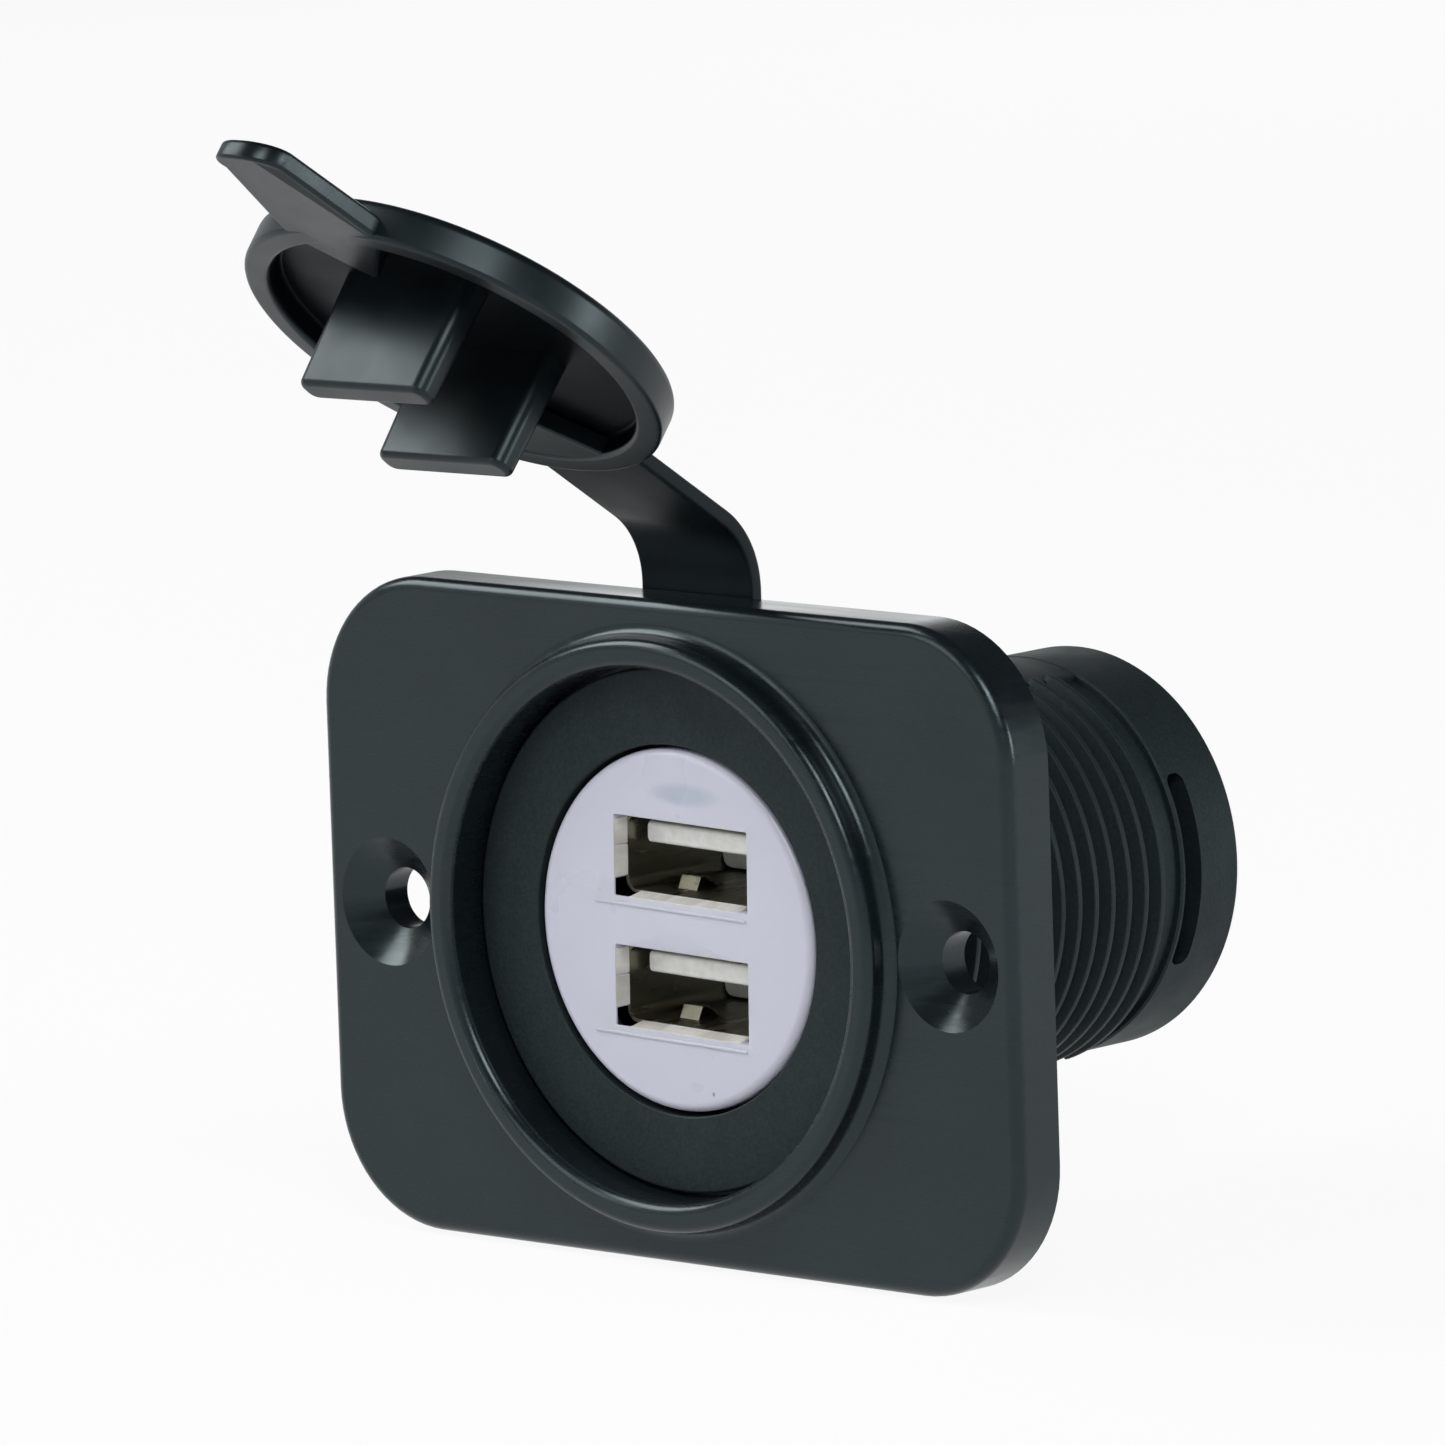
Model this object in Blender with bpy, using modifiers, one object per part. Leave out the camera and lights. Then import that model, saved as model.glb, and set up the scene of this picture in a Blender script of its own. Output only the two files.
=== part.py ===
"""Panel socket with two USB ports, a rectangular mounting plate and a rubber flip cap.

Metres, +Z up. The front faces -Y and the threaded barrel runs along +Y.
The origin is where the socket's axis meets the back face of the mounting plate.
"""

import math

import bmesh
import bpy
from mathutils import Matrix, Vector

MM = 0.001

# Fits between separate pieces
SEAT_GAP = 0.30 * MM
SLIDE_GAP = 0.15 * MM

# Mounting plate
PLATE_WIDTH = 65.0 * MM
PLATE_HEIGHT = 47.0 * MM
PLATE_THICKNESS = 4.2 * MM
PLATE_CORNER_RADIUS = 9.6 * MM
PLATE_EDGE_ROUND = 0.9 * MM
WEB_THICKNESS = 1.5 * MM
RING_BORE_RADIUS = 18.9 * MM
RING_WALL = 2.1 * MM
RING_HEIGHT = 2.05 * MM
RING_FOOT_FILLET = 0.85 * MM
RING_OUTER_ROUND = 0.75 * MM
RING_INNER_ROUND = 0.8 * MM
RING_LAND = 0.05 * MM
SCREW_FROM_END = 6.0 * MM
SCREW_HOLE_RADIUS = 2.2 * MM
SCREW_HEAD_RADIUS = 4.6 * MM
SCREW_SINK_DEPTH = 1.9 * MM

# Socket body
FLANGE_RECESS = 1.2 * MM
FLANGE_CHAMFER = 0.25 * MM
NECK_RADIUS = 14.9 * MM
THREAD_CREST_RADIUS = 14.85 * MM
THREAD_ROOT_RADIUS = 13.95 * MM
THREAD_PITCH = 1.8 * MM
THREAD_TURNS = 20
THREAD_START = 1.0 * MM
THREAD_CREST_WIDTH = 0.45 * MM
THREAD_FLANK_SLOPE = 0.45
THREAD_STEPS = 24
COLLAR_LENGTH = 6.3 * MM
STRIP_WIDTH = 10.0 * MM
STRIP_RADIUS = 14.45 * MM
COLLAR_RADIUS = 14.5 * MM
COLLAR_CHAMFER = 0.4 * MM
BARREL_LENGTH = 40.9 * MM
BARREL_BORE_RADIUS = 12.2 * MM
WINDOW_FROM_END = 5.95 * MM
WINDOW_WIDTH = 1.75 * MM
WINDOW_LENGTH = 13.8 * MM

# Port bezel
BEZEL_RADIUS = 12.72 * MM
BEZEL_FACE_THICKNESS = 1.5 * MM
BEZEL_WALL = 1.1 * MM
BEZEL_DEPTH = 3.6 * MM
BEZEL_CHAMFER = 0.45 * MM

# USB ports
PORT_PITCH = 9.26 * MM
PORT_OFFSET = 0.4 * MM
SHELL_OPENING_WIDTH = 12.5 * MM
SHELL_OPENING_HEIGHT = 5.12 * MM
SHELL_WALL = 0.25 * MM
SHELL_CORNER_RADIUS = 1.0 * MM
SHELL_LENGTH = 14.0 * MM
SHELL_NOTCH_DEPTH = 1.2 * MM
SHELL_NOTCH_WIDTH = 1.0 * MM
SHELL_SET_BACK = 0.1 * MM
SPRING_SPACING = 7.2 * MM
SPRING_WIDTH = 1.3 * MM
SPRING_HEIGHT = 0.9 * MM
SPRING_LENGTH = 1.6 * MM
SPRING_DEPTH = 4.9 * MM
TONGUE_WIDTH = 11.1 * MM
TONGUE_THICKNESS = 1.55 * MM
TONGUE_TOP_GAP = 0.45 * MM
TONGUE_SET_BACK = 1.0 * MM
INSULATOR_BLOCK_LENGTH = 3.0 * MM
CONTACT_PITCHES = (-3.5 * MM, -1.0 * MM, 1.0 * MM, 3.5 * MM)
CONTACT_WIDTH = 1.0 * MM
CONTACT_THICKNESS = 0.2 * MM
CONTACT_TONGUE_GAP = 0.05 * MM
CONTACT_SET_BACK = 0.5 * MM

# Circuit inside the barrel
BOARD_THICKNESS = 1.6 * MM
PORT_BOARD_RADIUS = 11.8 * MM
CONVERTER_BOARD_WIDTH = 22.0 * MM
CONVERTER_TO_COVER = 4.4 * MM
LED_RADIUS = 1.5 * MM
LED_BODY_LENGTH = 4.2 * MM
LED_LEG = 0.5 * MM
LED_STAND = 3.0 * MM
LED_HEIGHT = 9.5 * MM
INDUCTOR_RADIUS = 4.6 * MM
INDUCTOR_HEIGHT = 5.0 * MM
INDUCTOR_FLANGE = 0.9 * MM
INDUCTOR_POST_RADIUS = 2.0 * MM
WINDING_RADIUS = 4.0 * MM
CAPACITOR_RADIUS = 3.15 * MM
CAPACITOR_HEIGHT = 7.6 * MM
CAPACITOR_SPACING = 8.8 * MM
CHIP_SIZE = (5.0 * MM, 4.0 * MM, 1.5 * MM)
DIODE_SIZE = (2.6 * MM, 4.6 * MM, 2.2 * MM)
INPUT_PARTS_FROM_EDGE = 5.2 * MM
OUTPUT_PARTS_FROM_EDGE = 13.8 * MM

# Rear cover and terminals
COVER_THICKNESS = 3.2 * MM
COVER_SET_BACK = 0.5 * MM
COVER_EDGE_CHAMFER = 0.4 * MM
HOOK_ARM_THICKNESS = 1.0 * MM
HOOK_LIP = 0.75 * MM
HOOK_REACH = 1.6 * MM
HOOK_LENGTH = 12.4 * MM
BLADE_WIDTH = 6.3 * MM
BLADE_THICKNESS = 0.8 * MM
BLADE_SPACING = 10.4 * MM
BLADE_REACH = 7.5 * MM
BLADE_SHOULDER = 4.2 * MM
BLADE_TAIL_WIDTH = 2.0 * MM
BLADE_TAIL_LENGTH = 3.0 * MM
BLADE_TIP_CHAMFER = 1.2 * MM
BLADE_HOLE_RADIUS = 0.8 * MM
BLADE_HOLE_FROM_TIP = 3.6 * MM

# Rubber cap, its strap and the ring that holds it behind the plate
STRAP_WIDTH = 10.5 * MM
STRAP_THICKNESS = 1.2 * MM
STRAP_BEND_RADIUS = 6.5 * MM
STRAP_END_TILT = math.radians(33.0)
STRAP_ROOT_LENGTH = 0.35 * MM
STRAP_RING_INNER_RADIUS = 15.2 * MM
STRAP_RING_OUTER_RADIUS = 18.4 * MM
CAP_RADIUS = 15.6 * MM
CAP_HEIGHT = 3.0 * MM
CAP_RIM = 1.95 * MM
CAP_FLOOR = 1.3 * MM
CAP_OUTER_ROUND = 0.8 * MM
CAP_RIM_ROUND = 0.4 * MM
TAB_WIDTH = 8.4 * MM
TAB_TIP_WIDTH = 5.6 * MM
TAB_REACH = 10.5 * MM
TAB_THICKNESS = 1.5 * MM
TAB_CORNER_RADIUS = 2.5 * MM
ROOT_WEDGE_REACH = 4.6 * MM
PLUG_WIDTH = 11.9 * MM
PLUG_THICKNESS = 2.2 * MM
PLUG_LENGTH = 8.8 * MM
PLUG_TAPER = 0.25 * MM
PLUG_CORNER_RADIUS = 0.9 * MM
PLUG_END_ROUND = 0.45 * MM
PLUG_FLOOR_CLEARANCE = 0.45 * MM

# Where the cap stands open, as seen from the side
CAP_OPEN_TILT = math.radians(38.6)
CAP_OPEN_FORWARD = 21.7 * MM
CAP_OPEN_ABOVE_PLATE = 21.95 * MM
CAP_PRESS_TRAVEL = 3.7 * MM
CAP_CLOSED_RISE = 0.45 * MM

ROUND_STEPS = 52
SMALL_STEPS = 16
COIL_STEPS = 20
ARC_STEPS = 3
WELD_DISTANCE = 0.003 * MM
SMOOTH_ANGLE = math.radians(35.0)

# Places that follow from the sizes above
SCREW_SPACING = PLATE_WIDTH - 2 * SCREW_FROM_END
COLLAR_START = BARREL_LENGTH - COLLAR_LENGTH
WINDOW_START = BARREL_LENGTH - WINDOW_FROM_END
CAP_OPEN_HEIGHT = PLATE_HEIGHT / 2 + CAP_OPEN_ABOVE_PLATE
PLATE_FRONT = -PLATE_THICKNESS
RING_CREST = PLATE_FRONT - RING_HEIGHT
FLANGE_FRONT = PLATE_FRONT + FLANGE_RECESS
FLANGE_BACK = -WEB_THICKNESS - SEAT_GAP
FLANGE_RADIUS = RING_BORE_RADIUS - SEAT_GAP
BEZEL_POCKET_RADIUS = BEZEL_RADIUS + SEAT_GAP
BEZEL_SHOULDER = FLANGE_FRONT + BEZEL_DEPTH + SEAT_GAP
SHELL_WIDTH = SHELL_OPENING_WIDTH + 2 * SHELL_WALL
SHELL_HEIGHT = SHELL_OPENING_HEIGHT + 2 * SHELL_WALL
SHELL_FRONT = FLANGE_FRONT + SHELL_SET_BACK
SHELL_BACK = SHELL_FRONT + SHELL_LENGTH
TONGUE_FRONT = SHELL_FRONT + TONGUE_SET_BACK
TONGUE_DROP = SHELL_OPENING_HEIGHT / 2 - TONGUE_TOP_GAP - TONGUE_THICKNESS
PORT_BOARD_FRONT = SHELL_BACK + SEAT_GAP
PORT_BOARD_BACK = PORT_BOARD_FRONT + BOARD_THICKNESS
CONVERTER_FRONT = PORT_BOARD_BACK + SEAT_GAP
COVER_BACK = BARREL_LENGTH - COVER_SET_BACK
COVER_FRONT = COVER_BACK - COVER_THICKNESS
CONVERTER_BACK = COVER_FRONT - CONVERTER_TO_COVER
COVER_RADIUS = BARREL_BORE_RADIUS - SEAT_GAP
STRAP_FRONT = SEAT_GAP
STRAP_BACK = STRAP_FRONT + STRAP_THICKNESS
STRAP_MIDDLE = (STRAP_FRONT + STRAP_BACK) / 2
PORT_HEIGHTS = {"upper": PORT_PITCH / 2, "lower": -PORT_PITCH / 2}

# Cap placing: 'along' runs from the strap to the tab, 'press' points into the ports
CAP_ALONG = Vector((0.0, -math.cos(CAP_OPEN_TILT), math.sin(CAP_OPEN_TILT)))
CAP_PRESS = Vector((0.0, -math.sin(CAP_OPEN_TILT), -math.cos(CAP_OPEN_TILT)))
CAP_OPEN_CENTRE = Vector((0.0, -CAP_OPEN_FORWARD, CAP_OPEN_HEIGHT))
CAP_CLOSED_FRONT = RING_CREST - SEAT_GAP - CAP_HEIGHT
CAP_CLOSED_CENTRE = Vector((0.0, CAP_CLOSED_FRONT - CAP_PRESS_TRAVEL, CAP_CLOSED_RISE))
CAP_CLOSING_ANGLE = math.pi / 2 + CAP_OPEN_TILT


def strap_bend_centre():
    """The point about which the open cap turns onto the closed one."""
    turn = Matrix.Rotation(CAP_CLOSING_ANGLE, 2)
    open_point = Vector((CAP_OPEN_CENTRE.y, CAP_OPEN_CENTRE.z))
    closed_point = Vector((CAP_CLOSED_CENTRE.y, CAP_CLOSED_CENTRE.z))
    rest = Matrix.Identity(2) - turn
    centre = rest.inverted() @ (closed_point - turn @ open_point)
    return Vector((0.0, centre.x, centre.y))


# Scene and materials

def clear_scene():
    for existing in list(bpy.data.objects):
        bpy.data.objects.remove(existing, do_unlink=True)


def new_collection(name):
    collection = bpy.data.collections.get(name)
    if collection is None:
        collection = bpy.data.collections.new(name)
        bpy.context.scene.collection.children.link(collection)
    return collection


def material(name, colour, roughness, metallic=0.0):
    made = bpy.data.materials.new(name)
    made.use_nodes = True
    shader = made.node_tree.nodes["Principled BSDF"]
    shader.inputs["Base Color"].default_value = (*colour, 1.0)
    shader.inputs["Roughness"].default_value = roughness
    shader.inputs["Metallic"].default_value = metallic
    return made


# Outlines in a plane, as lists of (u, v)

def arc(centre, radius, start, end, steps=ARC_STEPS):
    points = []
    for step in range(steps + 1):
        angle = math.radians(start + (end - start) * step / steps)
        points.append((centre[0] + radius * math.cos(angle), centre[1] + radius * math.sin(angle)))
    return points


def rounded_rectangle(width, height, radius, steps, centre=(0.0, 0.0)):
    across = width / 2 - radius
    up = height / 2 - radius
    points = []
    for sign_u, sign_v, start in ((1, 1, 0), (-1, 1, 90), (-1, -1, 180), (1, -1, 270)):
        corner = (centre[0] + sign_u * across, centre[1] + sign_v * up)
        points += arc(corner, radius, start, start + 90, steps)
    return points


def circle(radius, centre=(0.0, 0.0), steps=ROUND_STEPS):
    return arc(centre, radius, 0, 360 - 360 / steps, steps - 1)


# Shapes

def link(name, mesh, collection):
    made = bpy.data.objects.new(name, mesh)
    collection.objects.link(made)
    return made


def weld(mesh):
    """Joins points that a boolean left a hair apart."""
    body = bmesh.new()
    body.from_mesh(mesh)
    bmesh.ops.remove_doubles(body, verts=body.verts, dist=WELD_DISTANCE)
    bmesh.ops.dissolve_degenerate(body, dist=WELD_DISTANCE / 2, edges=body.edges)
    body.to_mesh(mesh)
    body.free()


def baked(source, name, collection):
    """Replaces an object by a plain welded mesh in world space."""
    bpy.context.view_layer.update()
    graph = bpy.context.evaluated_depsgraph_get()
    mesh = bpy.data.meshes.new_from_object(source.evaluated_get(graph), depsgraph=graph)
    mesh.name = name
    mesh.transform(source.matrix_world)
    bpy.data.objects.remove(source, do_unlink=True)
    weld(mesh)
    return link(name, mesh, collection)


def plate_of(name, outlines, depth, frame, collection):
    """A flat outline with its holes, made thick. The frame gives its middle plane."""
    curve = bpy.data.curves.new(name, "CURVE")
    curve.dimensions = "2D"
    curve.fill_mode = "BOTH"
    curve.extrude = depth / 2
    for outline in outlines:
        spline = curve.splines.new("POLY")
        spline.points.add(len(outline) - 1)
        for point, (u, v) in zip(spline.points, outline):
            point.co = (u, v, 0.0, 1.0)
        spline.use_cyclic_u = True
    flat = link(name, curve, collection)
    flat.matrix_world = frame
    return with_flat_faces(baked(flat, name, collection))


def with_flat_faces(body):
    """Joins the triangles of each flat side, so that its rim can be rounded."""
    mesh = bmesh.new()
    mesh.from_mesh(body.data)
    bmesh.ops.dissolve_limit(
        mesh, angle_limit=math.radians(0.5), use_dissolve_boundaries=False,
        verts=mesh.verts, edges=mesh.edges, delimit={"NORMAL"},
    )
    mesh.to_mesh(body.data)
    mesh.free()
    return body


def frame_from(u_axis, v_axis, origin):
    """A frame whose local X and Y run along the two axes given."""
    w_axis = u_axis.cross(v_axis)
    matrix = Matrix((u_axis, v_axis, w_axis)).transposed().to_4x4()
    matrix.translation = origin
    return matrix


def facing_front(middle):
    """Outline u is world X and v is world Z."""
    return frame_from(Vector((1, 0, 0)), Vector((0, 0, 1)), Vector((0, middle, 0)))


def facing_side(middle):
    """Outline u is world Y and v is world Z."""
    return frame_from(Vector((0, 1, 0)), Vector((0, 0, 1)), Vector((middle, 0, 0)))


def facing_up(middle):
    """Outline u is world X and v is world Y."""
    return frame_from(Vector((1, 0, 0)), Vector((0, 1, 0)), Vector((0, 0, middle)))


def turned(name, profile, frame, collection, steps=ROUND_STEPS, closed=True):
    """A profile of (radius, height) turned about the frame's Z axis.

    The points run down the outer side first.
    """
    mesh = bpy.data.meshes.new(name)
    points = [(radius, 0.0, height) for radius, height in profile]
    edges = [(index, index + 1) for index in range(len(points) - 1)]
    if closed:
        edges.append((len(points) - 1, 0))
    mesh.from_pydata(points, edges, [])
    body = link(name, mesh, collection)
    body.matrix_world = frame
    screw = body.modifiers.new("turn", "SCREW")
    screw.axis = "Z"
    screw.angle = math.tau
    screw.steps = steps
    screw.render_steps = steps
    screw.use_merge_vertices = True
    screw.merge_threshold = 0.00001
    return baked(body, name, collection)


def along_barrel(origin=Vector((0, 0, 0))):
    """The turning axis runs along +Y, so heights in a profile are world Y."""
    matrix = Matrix.Rotation(-math.pi / 2, 4, "X")
    matrix.translation = origin
    return matrix


def upright(origin):
    return Matrix.Translation(origin)


def block(name, low, high, collection):
    body = bmesh.new()
    bmesh.ops.create_cube(body, size=1.0)
    low = Vector(low)
    high = Vector(high)
    size = high - low
    for vertex in body.verts:
        middle = (low + high) / 2
        vertex.co = Vector([middle[i] + vertex.co[i] * size[i] for i in range(3)])
    mesh = bpy.data.meshes.new(name)
    body.to_mesh(mesh)
    body.free()
    return link(name, mesh, collection)


def as_cutter(body, cutters):
    for collection in list(body.users_collection):
        collection.objects.unlink(body)
    cutters.objects.link(body)
    body.hide_render = True
    body.display_type = "WIRE"
    return body


def combine(body, tool, operation, cutters):
    """Applies one exact boolean and removes the tool."""
    as_cutter(tool, cutters)
    step = body.modifiers.new(operation.lower(), "BOOLEAN")
    step.operation = operation
    step.solver = "EXACT"
    step.object = tool
    bpy.context.view_layer.update()
    graph = bpy.context.evaluated_depsgraph_get()
    mesh = bpy.data.meshes.new_from_object(body.evaluated_get(graph), depsgraph=graph)
    weld(mesh)
    body.modifiers.clear()
    old = body.data
    body.data = mesh
    mesh.name = body.name
    bpy.data.meshes.remove(old)
    bpy.data.objects.remove(tool, do_unlink=True)
    return body


def round_edges(body, chosen, width, segments):
    """Rounds the edges for which chosen(edge) holds."""
    mesh = bmesh.new()
    mesh.from_mesh(body.data)
    edges = [edge for edge in mesh.edges if chosen(edge)]
    bmesh.ops.bevel(
        mesh, geom=edges, offset=width, segments=segments, profile=0.5,
        affect="EDGES", clamp_overlap=True,
    )
    mesh.to_mesh(body.data)
    mesh.free()
    return body


def finish(body, look, smooth=True):
    body.data.materials.clear()
    body.data.materials.append(look)
    if smooth:
        body.data.shade_smooth()
        body.data.set_sharp_from_angle(angle=SMOOTH_ANGLE)
    return body


# Mounting plate

def mounting_plate(parts, cutters, look):
    plate = plate_of(
        "mounting_plate",
        [rounded_rectangle(PLATE_WIDTH, PLATE_HEIGHT, PLATE_CORNER_RADIUS, 8)],
        PLATE_THICKNESS, facing_front(PLATE_FRONT / 2), parts,
    )

    def front_rim(edge):
        at_front = all(abs(vertex.co.y - PLATE_FRONT) < 1e-6 for vertex in edge.verts)
        return at_front and len(edge.link_faces) == 2 and abs(edge.calc_face_angle(0.0)) > 0.5

    round_edges(plate, front_rim, PLATE_EDGE_ROUND, 3)
    combine(plate, raised_ring(parts), "UNION", cutters)
    combine(plate, ring_bore(parts), "DIFFERENCE", cutters)
    for side in (-1, 1):
        combine(plate, screw_hole(side, parts), "DIFFERENCE", cutters)
    return finish(plate, look)


def raised_ring(parts):
    """The outer side of the raised ring, as a solid disc sunk into the plate."""
    outer = RING_BORE_RADIUS + RING_WALL
    foot = outer + RING_FOOT_FILLET
    foot_front = PLATE_FRONT - RING_LAND
    buried = PLATE_FRONT + PLATE_THICKNESS / 4
    profile = [(0.0, buried), (foot, buried)]
    profile += arc((foot, foot_front - RING_FOOT_FILLET), RING_FOOT_FILLET, 90, 180)
    profile += arc((outer - RING_OUTER_ROUND, RING_CREST + RING_OUTER_ROUND), RING_OUTER_ROUND, 0, -90)
    profile += [(0.0, RING_CREST)]
    return turned("raised_ring", profile, along_barrel(), parts, closed=False)


def ring_bore(parts):
    """Cuts the ring's inside down to the thin web, and the hole in the web."""
    lead = math.radians(15)
    centre = (RING_BORE_RADIUS + RING_INNER_ROUND, RING_CREST + RING_INNER_ROUND)
    above = RING_CREST - 1 * MM
    hole = NECK_RADIUS + SEAT_GAP
    profile = [(0.0, 1 * MM), (hole, 1 * MM), (hole, -WEB_THICKNESS), (RING_BORE_RADIUS, -WEB_THICKNESS)]
    profile += arc(centre, RING_INNER_ROUND, 180, 255)
    profile += [(centre[0] + 1 * MM * math.cos(lead) - 0.1 * MM, above), (0.0, above)]
    return turned("ring_bore", profile, along_barrel(), parts, closed=False)


def screw_hole(side, parts):
    sunk = PLATE_FRONT + SCREW_SINK_DEPTH
    slope = (SCREW_HEAD_RADIUS - SCREW_HOLE_RADIUS) / SCREW_SINK_DEPTH
    lead = 0.1 * MM
    clear_of_ring = RING_CREST - 1.0 * MM
    head = SCREW_HEAD_RADIUS + slope * lead
    profile = [
        (0.0, 1.0 * MM), (SCREW_HOLE_RADIUS, 1.0 * MM), (SCREW_HOLE_RADIUS, sunk),
        (head, PLATE_FRONT - lead), (head, clear_of_ring), (0.0, clear_of_ring),
    ]
    place = along_barrel(Vector((side * SCREW_SPACING / 2, 0, 0)))
    return turned("screw_hole", profile, place, parts, steps=32, closed=False)


# Socket body

def socket_body(parts, cutters, look):
    body = threaded_rod(parts)
    reach = THREAD_CREST_RADIUS + 1 * MM
    for side in (-1, 1):
        ends = (side * (BARREL_BORE_RADIUS + 0.4 * MM), side * reach)
        strip_cut = block(
            "strip_cut", (-STRIP_WIDTH / 2, -reach, min(ends)),
            (STRIP_WIDTH / 2, BARREL_LENGTH + reach, max(ends)), cutters,
        )
        combine(body, strip_cut, "DIFFERENCE", cutters)
    rod_end = block(
        "rod_end", (-reach, COLLAR_START + 0.2 * MM, -reach), (reach, BARREL_LENGTH, reach), cutters,
    )
    combine(body, rod_end, "DIFFERENCE", cutters)
    combine(body, smooth_strips(parts, cutters), "UNION", cutters)
    combine(body, flange_and_neck(parts), "UNION", cutters)
    combine(body, collar(parts), "UNION", cutters)
    combine(body, barrel_bore(parts), "DIFFERENCE", cutters)
    for side in (-1, 1):
        combine(body, hook_window(side, cutters), "DIFFERENCE", cutters)
    return finish(body, look)


def flange_and_neck(parts):
    profile = [
        (0.0, THREAD_START), (NECK_RADIUS, THREAD_START), (NECK_RADIUS, FLANGE_BACK),
        (FLANGE_RADIUS, FLANGE_BACK), (FLANGE_RADIUS, FLANGE_FRONT + FLANGE_CHAMFER),
        (FLANGE_RADIUS - FLANGE_CHAMFER, FLANGE_FRONT), (0.0, FLANGE_FRONT),
    ]
    return turned("flange_and_neck", profile, along_barrel(), parts, closed=False)


def collar(parts):
    profile = [
        (0.0, BARREL_LENGTH), (COLLAR_RADIUS - COLLAR_CHAMFER, BARREL_LENGTH),
        (COLLAR_RADIUS, BARREL_LENGTH - COLLAR_CHAMFER), (COLLAR_RADIUS, COLLAR_START),
        (0.0, COLLAR_START),
    ]
    return turned("collar", profile, along_barrel(), parts, closed=False)


def barrel_bore(parts):
    beyond = 1 * MM
    profile = [
        (0.0, BARREL_LENGTH + beyond), (BARREL_BORE_RADIUS, BARREL_LENGTH + beyond),
        (BARREL_BORE_RADIUS, BEZEL_SHOULDER), (BEZEL_POCKET_RADIUS, BEZEL_SHOULDER),
        (BEZEL_POCKET_RADIUS, FLANGE_FRONT - beyond), (0.0, FLANGE_FRONT - beyond),
    ]
    return turned("barrel_bore", profile, along_barrel(), parts, closed=False)


def hook_window(side, cutters):
    reach = (side * (BARREL_BORE_RADIUS - 4 * MM), side * (COLLAR_RADIUS + 2 * MM))
    window = block(
        "window",
        (min(reach), WINDOW_START, -WINDOW_LENGTH / 2),
        (max(reach), WINDOW_START + WINDOW_WIDTH, WINDOW_LENGTH / 2), cutters,
    )
    return round_edges(
        window,
        lambda edge: abs(edge.verts[0].co.x - edge.verts[1].co.x) > 1 * MM,
        WINDOW_WIDTH * 0.4, 2,
    )


def threaded_rod(parts):
    """One pitch of the thread's outline, turned into a solid rod with a real helix."""
    flank = (THREAD_CREST_RADIUS - THREAD_ROOT_RADIUS) * THREAD_FLANK_SLOPE
    start = THREAD_START - THREAD_PITCH - 0.1 * MM
    heights = (0.0, flank, flank + THREAD_CREST_WIDTH, 2 * flank + THREAD_CREST_WIDTH, THREAD_PITCH)
    radii = (
        THREAD_ROOT_RADIUS, THREAD_CREST_RADIUS, THREAD_CREST_RADIUS,
        THREAD_ROOT_RADIUS, THREAD_ROOT_RADIUS,
    )
    mesh = bpy.data.meshes.new("thread")
    points = [(radius, 0.0, start + height) for radius, height in zip(radii, heights)]
    edges = [(index, index + 1) for index in range(len(points) - 1)]
    mesh.from_pydata(points, edges, [])
    rod = link("socket_body", mesh, parts)
    rod.matrix_world = along_barrel()
    screw = rod.modifiers.new("helix", "SCREW")
    screw.axis = "Z"
    screw.angle = math.tau
    screw.screw_offset = THREAD_PITCH
    screw.iterations = THREAD_TURNS
    screw.steps = THREAD_STEPS
    screw.render_steps = THREAD_STEPS
    rod = baked(rod, "socket_body", parts)
    ends = bmesh.new()
    ends.from_mesh(rod.data)
    open_edges = [edge for edge in ends.edges if edge.is_boundary]
    filled = bmesh.ops.holes_fill(ends, edges=open_edges, sides=0)
    bmesh.ops.poke(ends, faces=filled["faces"])
    bmesh.ops.recalc_face_normals(ends, faces=ends.faces)
    ends.to_mesh(rod.data)
    ends.free()
    return rod


def smooth_strips(parts, cutters):
    """A plain run along the top and the bottom of the thread."""
    profile = [
        (0.0, COLLAR_START + 0.5 * MM), (STRIP_RADIUS, COLLAR_START + 0.5 * MM),
        (STRIP_RADIUS, THREAD_START - 0.5 * MM), (0.0, THREAD_START - 0.5 * MM),
    ]
    core = turned("smooth_strips", profile, along_barrel(), parts, closed=False)
    reach = COLLAR_RADIUS + 1 * MM
    half = STRIP_WIDTH / 2 + 0.15 * MM
    keep = block("strip_keep", (-half, -reach, -reach), (half, BARREL_LENGTH, reach), cutters)
    return combine(core, keep, "INTERSECT", cutters)


# Port bezel

def port_bezel(parts, cutters, look):
    back = FLANGE_FRONT + BEZEL_DEPTH
    face_back = FLANGE_FRONT + BEZEL_FACE_THICKNESS
    profile = [
        (BEZEL_RADIUS, back), (BEZEL_RADIUS, FLANGE_FRONT + BEZEL_CHAMFER),
        (BEZEL_RADIUS - BEZEL_CHAMFER, FLANGE_FRONT), (0.0, FLANGE_FRONT), (0.0, face_back),
        (BEZEL_RADIUS - BEZEL_WALL, face_back), (BEZEL_RADIUS - BEZEL_WALL, back),
    ]
    bezel = turned("port_bezel", profile, along_barrel(), parts)
    for height in PORT_HEIGHTS.values():
        outline = rounded_rectangle(
            SHELL_WIDTH + 2 * SLIDE_GAP, SHELL_HEIGHT + 2 * SLIDE_GAP, 0.15 * MM, 1,
            (PORT_OFFSET, height),
        )
        middle = FLANGE_FRONT + BEZEL_FACE_THICKNESS / 2
        window = plate_of(
            "port_window", [outline], BEZEL_FACE_THICKNESS + 1 * MM, facing_front(middle), parts,
        )
        combine(bezel, window, "DIFFERENCE", cutters)
    return finish(bezel, look)


# USB ports

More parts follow.
